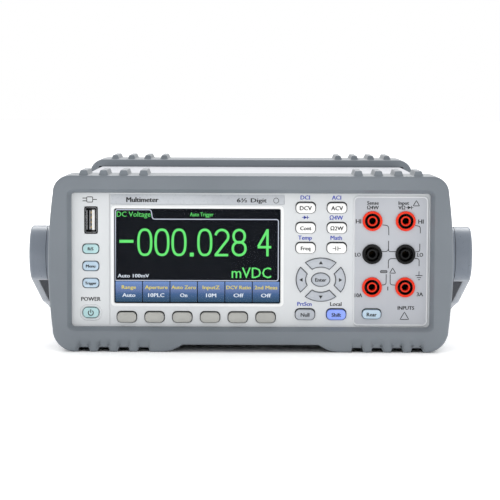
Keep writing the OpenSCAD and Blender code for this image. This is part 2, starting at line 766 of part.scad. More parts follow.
module option_slot_cover() {
    color("#c9ccd0") difference() {
        slab(rear_d, rear_d + 1) translate([slot_cover[0], slot_cover[1]])
            rounded_rect(slot_cover[2] + 12, slot_cover[3], 2);
        for (p = COVER_SCREWS)
            rod(p[0], p[1], rear_d - e, rear_d + 1 + e, screw_hole_r);
    }
}

module current_fuse_holder() {
    color("#26272b") on_rear(fuse_x, fuse_z) difference() {
        union() {
            cylinder(h = 2.2, r = 8);
            translate([0, 0, -30]) cylinder(h = 31, r = fuse_hole_r);
        }
        translate([0, 0, -28]) cylinder(h = 31, r = 5);
    }
}

module current_fuse_cap() {
    color("#2e3035") on_rear(fuse_x, fuse_z) difference() {
        union() {
            translate([0, 0, -20]) cylinder(h = 24, r = 4.94);
            translate([0, 0, 2.4]) cylinder(h = 4, r = 6.6);
        }
        translate([-7, -0.6, 5]) cube([14, 1.2, 2]);
    }
}

// Pan-head screw with a cross recess, its head resting at height lift
module pan_screw(lift) {
    difference() {
        union() {
            translate([0, 0, lift]) cylinder(h = 1.8, r = 2.75);
            translate([0, 0, -6]) cylinder(h = 7, r = screw_hole_r - 0.1);
        }
        for (a = [0, 90]) rotate([0, 0, a]) translate([-1.6, -0.35, lift + 0.9]) cube([3.2, 0.7, 1]);
    }
}

module rear_screws() {
    color("#b8bcc2") {
        for (p = concat(PANEL_SCREWS, fan_corners())) on_rear(p[0], p[1]) pan_screw(0);
        for (p = COVER_SCREWS) on_rear(p[0], p[1]) pan_screw(1);
    }
}

// ---------- inside ----------

module main_board() {
    top = board_z + 1.6;
    color("#2f6b3f") {
        block([board_x[0], board_y[0], board_z], [board_x[1], board_y[1], top]);
        block([64, 42, top - e], [75, 56, 27]);
        rod(69.4, 21.8, 35.4, 42 + e, 2);
        block([-10, 190, top - e], [40, 205, 40]);
        for (x = [54, 68, 82]) rod_z(x, 215, top - e, 42, 5);
    }
}

module board_standoffs() {
    low = case_lift + sheet + 1;
    color("#c9b26a") for (x = [board_x[0] + 5, 27, board_x[1] - 5], y = [board_y[0] + 5, board_y[1] - 5])
        rod_z(x, y, low, board_z, 3);
}

// Upright round bar at X and depth
module rod_z(x, d, z0, z1, r) {
    translate([x, front + d, z0]) cylinder(h = z1 - z0, r = r);
}

module shield_can() {
    z0 = board_z + 1.6;
    color("#c9ccd0") difference() {
        block([8, 80, z0], [90, 170, z0 + 24]);
        block([9, 81, z0 - 1], [89, 169, z0 + 23]);
    }
}

module transformer() {
    low = case_lift + sheet + 1;
    color("#5a5d63") {
        block([-98, 168, low], [-50, 188, low + 42]);
        block([-92, 160, low + 8], [-56, 196, low + 34]);
    }
}

module ribbon_cable() {
    color("#9aa0a8") {
        block([-30, board_d + board_t, 34], [10, 46, 35]);
        block([-30, 45, board_z + 1.6], [10, 46, 35]);
    }
}

front_bumper();
rear_bumper();
case_sleeve();
chassis_tray();
front_panel();
terminal_plate();
display_window();
display_module();
key_membrane();
keypad_board();
usb_host_port();
jacks_red();
jacks_black();
jack_contacts();
jack_nuts();
handle();
handle_mount(-1);  // handle_mount_left
handle_mount(1);  // handle_mount_right
rear_panel();
mains_inlet();
mains_inlet_pins();
fuse_drawer();
fan_frame();
fan_rotor();
fan_guard();
bnc_connectors();
data_ports();
option_slot_cover();
current_fuse_holder();
current_fuse_cap();
rear_screws();
main_board();
transformer();
board_standoffs();
shield_can();
ribbon_cable();
key_enter();
for (k = RECT_KEYS) color(key_colour(k[0])) rect_key(k);
for (k = ARROWS) arrow_key(k);
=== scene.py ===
"""Bench multimeter: finished surfaces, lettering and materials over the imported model.

Lengths are in millimetres inside this file. X runs to the right, depth runs back from the front
bumper's face and Z runs up from the floor. The mesh builder turns them into metres in the shared frame.
"""
import json
import math

import bmesh
import bpy
import numpy as np
from mathutils import Matrix, Vector


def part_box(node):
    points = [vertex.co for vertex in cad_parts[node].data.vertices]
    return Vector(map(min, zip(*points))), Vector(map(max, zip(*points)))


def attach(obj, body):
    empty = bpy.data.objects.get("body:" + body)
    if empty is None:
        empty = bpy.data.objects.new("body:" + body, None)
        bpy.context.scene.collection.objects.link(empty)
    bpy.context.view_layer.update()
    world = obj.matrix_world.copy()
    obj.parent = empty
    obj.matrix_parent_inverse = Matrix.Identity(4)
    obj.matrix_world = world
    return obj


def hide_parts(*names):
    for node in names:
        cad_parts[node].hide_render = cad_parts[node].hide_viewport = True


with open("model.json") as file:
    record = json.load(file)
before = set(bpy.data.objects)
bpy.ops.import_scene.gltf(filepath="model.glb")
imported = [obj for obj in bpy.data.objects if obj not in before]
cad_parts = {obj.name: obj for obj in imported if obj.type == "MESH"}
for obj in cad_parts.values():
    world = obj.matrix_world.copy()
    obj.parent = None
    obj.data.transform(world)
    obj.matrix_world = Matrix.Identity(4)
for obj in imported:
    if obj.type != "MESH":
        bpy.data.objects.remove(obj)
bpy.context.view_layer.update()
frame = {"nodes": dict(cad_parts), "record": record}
NODES = frame["nodes"]
SLOT_OF = {s["node"]: s["material_slot"] for s in frame["record"]["subparts"]}


def millimetres(node):
    """Lowest and highest corners of a CAD node, as (x, depth, z) in millimetres."""
    low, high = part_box(node)
    return [np.array([v.x, v.y - FRONT, v.z]) * 1000 for v in (low, high)]


def outline(node):
    """Middle and size of a CAD node as seen from the front, each as (x, z) in millimetres."""
    low, high = millimetres(node)
    return ((low[0] + high[0]) / 2, (low[2] + high[2]) / 2), (high[0] - low[0], high[2] - low[2])


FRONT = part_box("front_bumper")[0].y
PANEL = millimetres("front_panel")[0][1]
REAR = millimetres("rear_panel")[1][1]
CASE_LOW, CASE_HIGH = millimetres("case_sleeve")


# ---------- camera and lamp ----------

LENS_MM, SENSOR_MM, SHIFT_X = 139.1, 36, -0.0016
EYE_AHEAD, EYE_HEIGHT = 1.096, 0.1489  # metres in front of the bumper's face and above the floor
PITCH, ROLL = 4.702, 0.2  # degrees


def set_camera():
    """A long lens in front of the panel, a little above it and tipped down by its pitch angle."""
    data = bpy.data.cameras.new("camera")
    data.lens = LENS_MM
    data.sensor_width = SENSOR_MM
    data.shift_x = SHIFT_X
    camera = bpy.data.objects.new("camera", data)
    turn = Matrix.Rotation(math.radians(90 - PITCH), 4, "X") @ Matrix.Rotation(math.radians(ROLL), 4, "Z")
    camera.matrix_world = Matrix.Translation((0, FRONT - EYE_AHEAD, EYE_HEIGHT)) @ turn
    bpy.context.scene.collection.objects.link(camera)
    bpy.context.scene.camera = camera


def add_softbox(name, place, aim, size, power):
    """A white rectangular lamp at place, turned to face the point aim."""
    data = bpy.data.lights.new(name, "AREA")
    data.shape = "RECTANGLE"
    data.size, data.size_y = size
    data.energy = power
    lamp = bpy.data.objects.new(name, data)
    way = Vector(place) - Vector(aim)
    lamp.matrix_world = Matrix.Translation(place) @ way.to_track_quat("Z", "Y").to_matrix().to_4x4()
    bpy.context.scene.collection.objects.link(lamp)


set_camera()


# ---------- materials ----------

def linear(code):
    """Linear RGBA of an sRGB hex colour: a channel c becomes c / 12.92 up to 0.04045, and above that
    ((c + 0.055) / 1.055) ^ 2.4."""
    c = np.array([int(code[i:i + 2], 16) / 255 for i in (1, 3, 5)])
    c = np.where(c <= 0.04045, c / 12.92, ((c + 0.055) / 1.055) ** 2.4)
    return (*c, 1.0)


def add(tree, kind, inputs=None, **settings):
    """Adds a node, sets its properties, and fills each input with a value or with another node's output."""
    made = tree.nodes.new(kind)
    for key, value in settings.items():
        setattr(made, key, value)
    for key, value in (inputs or {}).items():
        if isinstance(value, bpy.types.NodeSocket):
            tree.links.new(value, made.inputs[key])
        else:
            made.inputs[key].default_value = value
    return made


def blank(name):
    """An empty node material and its tree, ready for a surface."""
    made = bpy.data.materials.new(name)
    made.use_nodes = True
    made.node_tree.nodes.clear()
    return made, made.node_tree


def surfaced(name, dark, light, patch_mm, grain_mm, relief_mm, roughness, spread=0.06, **fixed):
    """A solid finish. Its colour drifts between dark and light in patches patch_mm across, a grain of
    grain_mm stands relief_mm high in the normal, and the same grain moves the roughness by spread."""
    made, tree = blank(name)
    where = add(tree, "ShaderNodeTexCoord").outputs["Object"]
    patch = add(tree, "ShaderNodeTexNoise", {"Vector": where, "Scale": 1000 / patch_mm, "Detail": 3.0})
    grain = add(tree, "ShaderNodeTexNoise", {"Vector": where, "Scale": 1000 / grain_mm, "Detail": 2.0})
    hue = add(tree, "ShaderNodeValToRGB", {"Fac": patch.outputs["Fac"]})
    hue.color_ramp.elements[0].position = 0.35
    hue.color_ramp.elements[1].position = 0.65
    hue.color_ramp.elements[0].color = linear(dark)
    hue.color_ramp.elements[1].color = linear(light)
    matt = add(tree, "ShaderNodeMapRange", {"Value": grain.outputs["Fac"], "From Min": 0.3, "From Max": 0.7,
                                            "To Min": roughness - spread, "To Max": roughness + spread})
    relief = add(tree, "ShaderNodeBump", {"Height": grain.outputs["Fac"], "Strength": 0.5,
                                          "Distance": relief_mm / 1000})
    skin = add(tree, "ShaderNodeBsdfPrincipled", {"Base Color": hue.outputs["Color"],
                                                  "Roughness": matt.outputs["Result"],
                                                  "Normal": relief.outputs["Normal"], **fixed})
    add(tree, "ShaderNodeOutputMaterial", {"Surface": skin.outputs["BSDF"]})
    return made


def lit(name, colour, strength=1.0):
    """A lit part of the display: emission over black glass, with a faint cell pattern in its strength."""
    made, tree = blank(name)
    where = add(tree, "ShaderNodeTexCoord").outputs["Object"]
    cells = add(tree, "ShaderNodeTexNoise", {"Vector": where, "Scale": 900.0, "Detail": 1.0})
    power = add(tree, "ShaderNodeMapRange", {"Value": cells.outputs["Fac"], "To Min": strength * 0.9,
                                             "To Max": strength * 1.1})
    skin = add(tree, "ShaderNodeBsdfPrincipled", {"Base Color": (0, 0, 0, 1), "Roughness": 0.5,
                                                  "Specular IOR Level": 0.0, "Emission Color": linear(colour),
                                                  "Emission Strength": power.outputs["Result"]})
    add(tree, "ShaderNodeOutputMaterial", {"Surface": skin.outputs["BSDF"]})
    return made


# Thermoplastic rubber, moulded in a spark-eroded tool: matt and soft, with a fine even grain.
rubber = surfaced("moulded_bumper_rubber", "#6E757C", "#757C83", 60, 1.1, 0.012, 0.4)
# Soft-touch nylon of the handle, a little smoother and bluer than the bumpers.
handle_nylon = surfaced("soft_touch_handle_nylon", "#747C87", "#7B838E", 50, 1.3, 0.01, 0.33)
# Powder coat on sheet steel: pale, satin, with a low orange-peel texture about 2 mm across.
powder_coat = surfaced("pale_powder_coated_steel", "#B4B6BD", "#BBBDC3", 90, 2.0, 0.03, 0.4)
# Dark grey matt nylon for a sheet on the inner faces of the handle's arms: painted shade between the arms and the
# case.
arm_shade_nylon = surfaced("dark_nylon_painted_arm_shade", "#33373E", "#3A3F46", 40, 1.2, 0.02, 0.6)
# The same powder coat in the rear panel's slightly darker grey.
rear_coat = surfaced("grey_powder_coated_steel", "#A8ABB0", "#B0B3B8", 70, 2.0, 0.05, 0.45)
# ABS front moulding, sprayed silver-white: satin, with a very fine sparkle.
silver_abs = surfaced("sprayed_silver_white_abs", "#CFD2D5", "#D6D9DB", 45, 0.9, 0.01, 0.38)
# The same spray, made whiter on the display's bevel: a painted highlight along the bevel.
bevel_highlight_white = surfaced("sprayed_bevel_painted_highlight", "#EBEDEE", "#F2F3F3", 45, 0.9, 0.01, 0.34)
# ABS of the terminal plate, a cooler and flatter grey.
cool_abs = surfaced("cool_grey_moulded_abs", "#B1B4BB", "#B8BBC1", 40, 0.9, 0.02, 0.45)
# Polycarbonate strip in the name pocket, printed grey on its back: darker and smoother.
strip_film = surfaced("grey_printed_polycarbonate", "#B7BBC1", "#C1C5CA", 30, 1.5, 0.01, 0.3)
# Two-shot ABS keycaps: satin, with a fine moulded grain.
key_white = surfaced("white_abs_keycap", "#F5F5F3", "#FCFCFA", 12, 0.8, 0.01, 0.34)
key_taupe = surfaced("taupe_abs_keycap", "#A6A6A2", "#AFAFAA", 12, 0.8, 0.01, 0.36)
key_grey = surfaced("grey_abs_keycap", "#AFB4BC", "#B8BDC4", 12, 0.8, 0.01, 0.36)
key_blue = surfaced("blue_abs_keycap", "#86A1FF", "#91AAFF", 12, 0.8, 0.01, 0.34)
key_ice = surfaced("pale_blue_abs_keycap", "#B4CADC", "#BFD4E4", 12, 0.8, 0.01, 0.34)
key_cyan = surfaced("pale_cyan_lit_keycap", "#A9CDD0", "#B7D9DB", 12, 0.8, 0.01, 0.34)
# Nylon jack insulators: glossy mouldings in safety red and black.
red_nylon = surfaced("glossy_red_nylon", "#E22A08", "#EC340E", 6, 0.7, 0.006, 0.3,
                     **{"Specular IOR Level": 0.25})
black_nylon = surfaced("glossy_black_nylon", "#07080A", "#0C0D10", 6, 0.7, 0.006, 0.3,
                       **{"Specular IOR Level": 0.2})
# Glass-filled nylon and ABS of sockets, fan and fuse parts: matt black.
black_abs = surfaced("matt_black_moulding", "#1F2024", "#28292D", 15, 0.9, 0.02, 0.5)
# Nickel plate over brass or steel: bright, with soft rolling marks.
nickel = surfaced("nickel_plated_metal", "#B4B6BA", "#C6C8CB", 8, 1.2, 0.01, 0.26, Metallic=1.0)
# Bright zinc plate of chassis and screws: greyer and duller than nickel.
zinc = surfaced("zinc_plated_steel", "#A3A6AB", "#B2B5BA", 12, 1.0, 0.02, 0.38, Metallic=1.0)
# Turned brass of standoffs and spring contacts, gold flashed.
brass = surfaced("gold_flashed_brass", "#B08A3C", "#C8A458", 3, 0.6, 0.01, 0.3, Metallic=1.0)
# Brass of the jack sockets, gone brown and dull with use.
dull_brass = surfaced("tarnished_socket_brass", "#2E2519", "#3F3423", 3, 0.6, 0.01, 0.5, Metallic=1.0)
# FR4 laminate with solder mask: green, glossy, with a faint weave.
laminate = surfaced("green_solder_mask_laminate", "#235B33", "#2F6E40", 10, 1.6, 0.02, 0.35)
# Varnished transformer laminations: dark, slightly uneven.
core_steel = surfaced("varnished_core_steel", "#3F4247", "#54575D", 10, 1.5, 0.05, 0.5)
# Silicone rubber keypad: translucent grey, matt.
silicone = surfaced("grey_silicone_rubber", "#71767D", "#7F848B", 12, 1.2, 0.02, 0.6)
# PVC ribbon cable, extruded and matt.
ribbon_pvc = surfaced("grey_pvc_ribbon", "#8F959D", "#A0A5AC", 5, 1.3, 0.02, 0.5)
# Screen-printing inks: thin, matt and slightly uneven.
ink_black = surfaced("black_printing_ink", "#0A0B0E", "#121418", 3, 0.5, 0.004, 0.55)
ink_blue = surfaced("blue_printing_ink", "#2438A4", "#2E44B0", 3, 0.5, 0.004, 0.55)
ink_white = surfaced("white_printing_ink", "#E6E6E4", "#F2F2F0", 3, 0.5, 0.004, 0.55)
# The lit parts of the colour display.
digit_green = lit("lit_green_segments", "#6CEA78", 1.3)
text_green = lit("lit_green_text", "#66DA70", 1.15)
line_white = lit("lit_white_lines", "#D8E0F2", 1.1)
text_white = lit("lit_white_text", "#E4EEFA", 1.25)
text_yellow = lit("lit_yellow_text", "#EBD85C", 1.25)
screen_black = surfaced("liquid_crystal_face", "#040507", "#06070A", 20, 1.0, 0.002, 0.4,
                        **{"Specular IOR Level": 0.05, "Emission Color": linear("#11141A"),
                           "Emission Strength": 1.0})


def make_glass():
    """Clear acrylic window with an anti-glare face: nearly invisible, with a weak sheen and a smoky tint."""
    made, tree = blank("anti_glare_acrylic_window")
    where = add(tree, "ShaderNodeTexCoord").outputs["Object"]
    grain = add(tree, "ShaderNodeTexNoise", {"Vector": where, "Scale": 1500.0, "Detail": 1.0})
    matt = add(tree, "ShaderNodeMapRange", {"Value": grain.outputs["Fac"], "To Min": 0.16, "To Max": 0.26})
    skin = add(tree, "ShaderNodeBsdfPrincipled", {"Base Color": linear("#0B0D12"), "Alpha": 0.12,
                                                  "Roughness": matt.outputs["Result"], "IOR": 1.49,
                                                  "Specular IOR Level": 0.12})
    add(tree, "ShaderNodeOutputMaterial", {"Surface": skin.outputs["BSDF"]})
    return made


def make_soft_key_glow():
    """The blue boxes over the soft keys: emission that falls from pale blue at the top to dark teal below."""
    made, tree = blank("lit_blue_soft_key_boxes")
    where = add(tree, "ShaderNodeTexCoord").outputs["Object"]
    height = add(tree, "ShaderNodeSeparateXYZ", {"Vector": where}).outputs["Z"]
    part = add(tree, "ShaderNodeMapRange", {"Value": height, "From Min": BOX_LOW / 1000,
                                            "From Max": BOX_HIGH / 1000})
    fade = add(tree, "ShaderNodeValToRGB", {"Fac": part.outputs["Result"]})
    ramp = fade.color_ramp
    ramp.elements[0].color = linear("#37536A")
    ramp.elements[1].color = linear("#7C9CD6")
    for place, code in ((0.4, "#4E6B98"), (0.55, "#6C80AE"), (0.85, "#7490C4")):
        ramp.elements.new(place).color = linear(code)
    skin = add(tree, "ShaderNodeBsdfPrincipled", {"Base Color": (0, 0, 0, 1), "Roughness": 0.5,
                                                  "Specular IOR Level": 0.0,
                                                  "Emission Color": fade.outputs["Color"],
                                                  "Emission Strength": 1.18})
    add(tree, "ShaderNodeOutputMaterial", {"Surface": skin.outputs["BSDF"]})
    return made


glass = make_glass()
BOX_LOW, BOX_HIGH = 27.9, 39.7  # heights between which the soft-key boxes lie
glow_blue = make_soft_key_glow()


# ---------- meshes ----------

def loft(loops, ring=False):
    """Skin over a stack of closed loops with equal point counts: quads between neighbours, and flat ends.
    With ring, the last loop is joined to the first instead."""
    loops = np.asarray(loops, float)
    k, n = loops.shape[:2]
    row, col = np.meshgrid(np.arange(k if ring else k - 1), np.arange(n), indexing="ij")
    right, up = (col + 1) % n, (row + 1) % k
    quads = np.stack([row * n + col, row * n + right, up * n + right, up * n + col], -1).reshape(-1, 4)
    faces = quads.tolist()
    if not ring:
        faces += [list(range(n))[::-1], list(range((k - 1) * n, k * n))]
    return loops.reshape(-1, 3), faces


def joined(parts):
    """Several (points, faces) pairs as one."""
    points, faces, start = [], [], 0
    for p, f in parts:
        points.append(p)
        faces += [[i + start for i in face] for face in f]
        start += len(p)
    return np.concatenate(points), faces


def piece(name, shape, material, body, stands_for=(), slot=None, sharp=32):
    """Makes an object from (points, faces) in millimetres, with outward faces, smooth below the sharp angle."""
    points, faces = shape
    mesh = bpy.data.meshes.new(name)
    mesh.from_pydata(points / 1000 + np.array([0, FRONT, 0]), [], faces)
    work = bmesh.new()
    work.from_mesh(mesh)
    bmesh.ops.remove_doubles(work, verts=work.verts, dist=1e-7)
    bmesh.ops.recalc_face_normals(work, faces=work.faces)
    work.to_mesh(mesh)
    work.free()
    mesh.shade_smooth()
    mesh.set_sharp_from_angle(angle=math.radians(sharp))
    mesh.materials.append(material)
    made = bpy.data.objects.new(name, mesh)
    bpy.context.scene.collection.objects.link(made)
    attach(made, body)
    if stands_for:
        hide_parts(*stands_for)
        slot = slot or SLOT_OF[stands_for[0]]
    return made


def rounded_loop(centre, size, radius, steps=8):
    """Points around a rectangle with round corners: four quarter circles joined by straight sides."""
    turn = np.linspace(0, np.pi / 2, steps + 1)
    out = []
    for i, (sx, sz) in enumerate(((1, 1), (-1, 1), (-1, -1), (1, -1))):
        a = turn + i * np.pi / 2
        out.append(np.stack([centre[0] + sx * (size[0] / 2 - radius) + radius * np.cos(a),
                             centre[1] + sz * (size[1] / 2 - radius) + radius * np.sin(a)], -1))
    return np.concatenate(out)


def at_depth(loop, depth):
    """A flat loop of (x, z) points placed at one depth, or at a depth for each point."""
    return np.stack([loop[:, 0], np.broadcast_to(depth, len(loop)), loop[:, 1]], -1)


def lathe(centre, profile, facing=-1, steps=56):
    """Surface of revolution about a line along depth: each (radius, height) of the profile becomes a circle,
    with height counted from the centre's depth towards the viewer (facing -1) or away from it (facing 1)."""
    turn = np.linspace(0, 2 * np.pi, steps, endpoint=False)
    return [np.stack([centre[0] + r * np.cos(turn), np.full(steps, centre[1] + facing * h),
                      centre[2] + r * np.sin(turn)], -1) for r, h in profile]


# ---------- bumpers ----------

RIB_H, RIB_W = 2.8, 4.5
GROOVE_H, GROOVE_W, FLUTE_D = 2.4, 6.2, 1.1
ARCH_H, ARCH_HALF, ARCH_RAMP = 4.1, 51.0, 12.0
BUMPER_HIGH = millimetres("front_bumper")[1]
BODY_TOP = BUMPER_HIGH[2] - RIB_H
MID_Z = BODY_TOP / 2
HALF_W = BUMPER_HIGH[0]
BOW_R, TOP_CORNER, LOW_CORNER = 300.0, 10.0, 13.0
RIBS = [95.3 - 11.4 * i for i in range(4)]
EDGE_ROUND, BACK_ROUND = 1.5, 1.0


def bumper_half_width(z):
    """Half width of a bumper at height z: a 300 mm bow, and beyond the flat height a quarter circle of 10 mm
    at the upper corners and 13 mm at the lower ones."""
    up = np.abs(z - MID_Z)
    radius = np.where(z < MID_Z, LOW_CORNER, TOP_CORNER)
    flat = MID_Z - radius
    bow = HALF_W - BOW_R + np.sqrt(BOW_R ** 2 - np.minimum(up, flat) ** 2)
    return bow - radius + np.sqrt(np.maximum(radius ** 2 - np.maximum(up - flat, 0) ** 2, 0))


def reach(inside, centre, angles, far=140.0):
    """Farthest point inside a star-shaped outline along each angle from the centre, found by halving."""
    way = np.stack([np.cos(angles), np.sin(angles)], -1)
    low, high = np.zeros(len(angles)), np.full(len(angles), far)
    for _ in range(40):
        mid = (low + high) / 2
        ok = inside(centre[0] + way[:, 0] * mid, centre[1] + way[:, 1] * mid)
        low, high = np.where(ok, mid, low), np.where(ok, high, mid)
    return np.array(centre) + way * low[:, None]


def in_rounded(centre, size, radius):
    """Test of whether a point lies inside a rounded rectangle."""
    def inside(x, z):
        """True where the distance past the corners' centres is at most the radius."""
        u = np.abs(x - centre[0]) - size[0] / 2 + radius
        v = np.abs(z - centre[1]) - size[1] / 2 + radius
        return np.hypot(np.maximum(u, 0), np.maximum(v, 0)) + np.minimum(np.maximum(u, v), 0) <= radius
    return inside


def grown(shape, by, rounder):
    """A rounded rectangle (middle, size, radius) made larger by a width, with its radius made larger too."""
    middle, size, radius = shape
    return middle, (size[0] + by, size[1] + by), radius + rounder


def step_up(x, edge, width):
    """0 below the edge and 1 above it, with a smooth cubic rise of the given width."""
    t = np.clip((x - edge) / width + 0.5, 0, 1)
    return t * t * (3 - 2 * t)


def ridge(x, middle, width, soft=0.9):
    """1 across the width around the middle and 0 outside, with soft sides."""
    return step_up(x, middle - width / 2, soft) * (1 - step_up(x, middle + width / 2, soft))


def bumper_shape(face, opening, cavity, near, far, out, soft):
    """A bumper as one closed tube around the case. A profile of loops runs from the cavity's mouth over the
    outer skin to the face, in through the bevelled opening and back along the cavity. face is the depth of
    the outer face, near the cavity's floor, far its mouth, and out is -1 in front and 1 behind. The ribs,
    with sides of width soft, lift the top skin, and the grooves and the arch lift the underside."""
    centre = (0.0, opening[0][1])
    marks = [(s * (x + edge + d), BODY_TOP) for x in RIBS for edge in (-2.3, 2.3)
             for d in (-0.9, -0.6, -0.3, 0, 0.3, 0.6, 0.9) for s in (-1, 1)]
    marks += [(s * x, 0.0) for s in (-1, 1) for x in np.linspace(36, 110, 140)]
    marks += rounded_loop(*opening, 10).tolist()
    marks += rounded_loop((0, MID_Z), (2 * HALF_W - 5, BODY_TOP), LOW_CORNER, 20).tolist()
    marks += rounded_loop(*cavity, 4).tolist()
    marks = np.array(marks)
    angles = np.arctan2(marks[:, 1] - centre[1], marks[:, 0] - centre[0])
    angles = np.concatenate([angles, np.linspace(-np.pi, np.pi, 160, endpoint=False)])
    angles = np.sort(angles)
    angles = angles[np.concatenate([[True], np.diff(angles) > 0.0008])]
    skin = reach(lambda x, z: (np.abs(z - MID_Z) <= MID_Z) & (np.abs(x) <= bumper_half_width(z)),
                 centre, angles)
    mouth = reach(in_rounded(*opening), centre, angles)
    bevel = reach(in_rounded(*grown(opening, 4.6, 1.5)), centre, angles)
    hollow = reach(in_rounded(*cavity), centre, angles)
    along = np.roll(skin, -1, 0) - np.roll(skin, 1, 0)
    inward = np.stack([-along[:, 1], along[:, 0]], -1)
    inward /= np.linalg.norm(inward, axis=1)[:, None]
    loops = [at_depth(hollow, far)]
    for turn in np.linspace(0, np.pi / 2, 4):
        loops.append(at_depth(skin + inward * BACK_ROUND * (1 - np.sin(turn)),
                              far + out * BACK_ROUND * (1 - np.cos(turn))))
    depth = abs(far - face)
    for part in (2.2, 2.7, 3.2, 3.7, 4.4, depth * 0.5, depth - 7.0, depth - 3.0, depth - 2.5, depth - 2.1,
                 depth - 1.8, depth - 1.6):
        loops.append(at_depth(skin, far + out * part))
    for turn in np.linspace(0, np.pi / 2, 6):
        loops.append(at_depth(skin + inward * EDGE_ROUND * (1 - np.cos(turn)),
                              face - out * EDGE_ROUND * (1 - np.sin(turn))))
    rim = skin + inward * EDGE_ROUND
    for part in np.linspace(0.06, 0.94, 15):
        loops.append(at_depth(rim + (bevel - rim) * part, face))
    loops.append(at_depth(bevel, face))
    loops.append(at_depth(bevel + (mouth - bevel) * 0.12, face - out * 0.25))
    loops.append(at_depth(bevel + (mouth - bevel) * 0.9, face - out * 2.6))
    loops.append(at_depth(mouth, face - out * 3.2))
    loops.append(at_depth(mouth, near))
    loops.append(at_depth(hollow, near))
    points, faces = loft(loops, ring=True)
    x, y, z = points.T.copy()
    side = np.abs(x)
    span = np.clip((depth - np.abs(y - face)) / depth, 0, 1) * depth
    ribs = sum(ridge(side, r, RIB_W, soft) for r in RIBS)
    grooves = sum(ridge(side, r, GROOVE_W, 1.2) for r in RIBS)
    high = step_up(z, BODY_TOP - 2.2, 1.6)
    length = step_up(span, 3.0, 1.4) * (1 - step_up(span, depth - 2.1, 0.9))
    arch = np.clip((ARCH_HALF - side) / ARCH_RAMP, 0, 1) ** 2
    lift = GROOVE_H * grooves * (1 - step_up(z, 2.6, 4.2)) + ARCH_H * arch * (1 - step_up(z, 4.5, 8.4))
    foot = z < 12
    points[:, 2] = z + RIB_H * ribs * high * length + np.where(foot, lift, 0)
    flute = FLUTE_D * grooves * (1 - step_up(z, 6.2, 5.0)) * np.clip(1 - np.abs(y - face) / 4, 0, 1)
    points[:, 1] = y - out * np.where(foot, flute, 0)
    return points, faces


SLEEVE_MID = (CASE_LOW[2] + CASE_HIGH[2]) / 2
CAVITY = ((0, SLEEVE_MID), (CASE_HIGH[0] * 2 + 0.4, CASE_HIGH[2] - CASE_LOW[2] + 0.4), 0.6)
piece("front_bumper_skin", bumper_shape(0.0, ((0, 52.5), (205, 76.8), 2.0), CAVITY, PANEL,
                                        BUMPER_HIGH[1], -1, 1.3), rubber, "instrument", ["front_bumper"])
REAR_LOW, REAR_HIGH = millimetres("rear_bumper")
piece("rear_bumper_skin", bumper_shape(REAR_HIGH[1], ((0, SLEEVE_MID), (204, 80), 6.0), CAVITY, REAR + 0.1,
                                       REAR_LOW[1], 1, 1.8), rubber, "instrument", ["rear_bumper"])


# ---------- front panel trims ----------

def trim_ring(inner, outer, profile):
    """A closed frame between two rounded outlines. Each (part, depth) of the profile is a loop that lies that
    part of the way from the inner outline to the outer one."""
    a, b = rounded_loop(*inner), rounded_loop(*outer)
    return loft([at_depth(a + (b - a) * part, depth) for part, depth in profile], ring=True)


GLASS = millimetres("display_window")[0][1]
WINDOW = grown((*outline("display_window"), 1.0), -3.2, 0)
# The display's bevel, in a whiter paint that is a painted highlight.
piece("display_bezel", trim_ring(WINDOW, grown(WINDOW, 3.6, 1.4), [
    (0, GLASS), (0.0, PANEL + 0.5), (0.12, PANEL + 0.05), (0.3, PANEL - 0.25), (0.5, PANEL - 0.35),
    (0.75, PANEL - 0.25), (1.0, PANEL + 0.02), (1.0, PANEL + 0.3), (0.1, PANEL + 0.9)]),
      bevel_highlight_white, "instrument", slot="panel_plastic")
PLATE = (*outline("terminal_plate"), 2.6)
piece("terminal_plate_border", trim_ring(grown(PLATE, -1.2, -0.6), grown(PLATE, 1.2, 0.6), [
    (0, PANEL + 0.2), (0, PANEL - 0.03), (0.2, PANEL - 0.3), (0.5, PANEL - 0.42), (0.8, PANEL - 0.3),
    (1, PANEL - 0.03), (1, PANEL + 0.2)]), silver_abs, "instrument", slot="panel_plastic")


def bar(low, high, radius=0.3):
    """A thin flat bar with round corners and a rounded face, from its low to its high corner."""
    mid = ((low[0] + high[0]) / 2, (low[2] + high[2]) / 2)
    size = (high[0] - low[0], high[2] - low[2])
    rise = min(0.3, (high[1] - low[1]) * 0.8)
    rows = ((0, high[1]), (0, low[1] + rise), (rise * 0.3, low[1] + rise * 0.3), (rise, low[1]))
    return loft([at_depth(rounded_loop(mid, (size[0] - 2 * i, size[1] - 2 * i), radius * 0.6 + 0.01, 3), d)
                 for i, d in rows])


piece("panel_step_line", bar((-81.3, PANEL - 0.22, 15.2), (-80.2, PANEL + 0.3, 90.2), 0.5), silver_abs,
      "instrument", slot="panel_plastic")
piece("name_strip_film", bar((-80.7, PANEL + 0.15, 84.2), (19.2, PANEL + 0.45, 89.9), 1.0), strip_film,
      "instrument", slot="terminal_plate")


# ---------- keys ----------

CAP_INSET = 0.95  # how far a cap stands inside the CAD key's flange
CROWN = 0.28


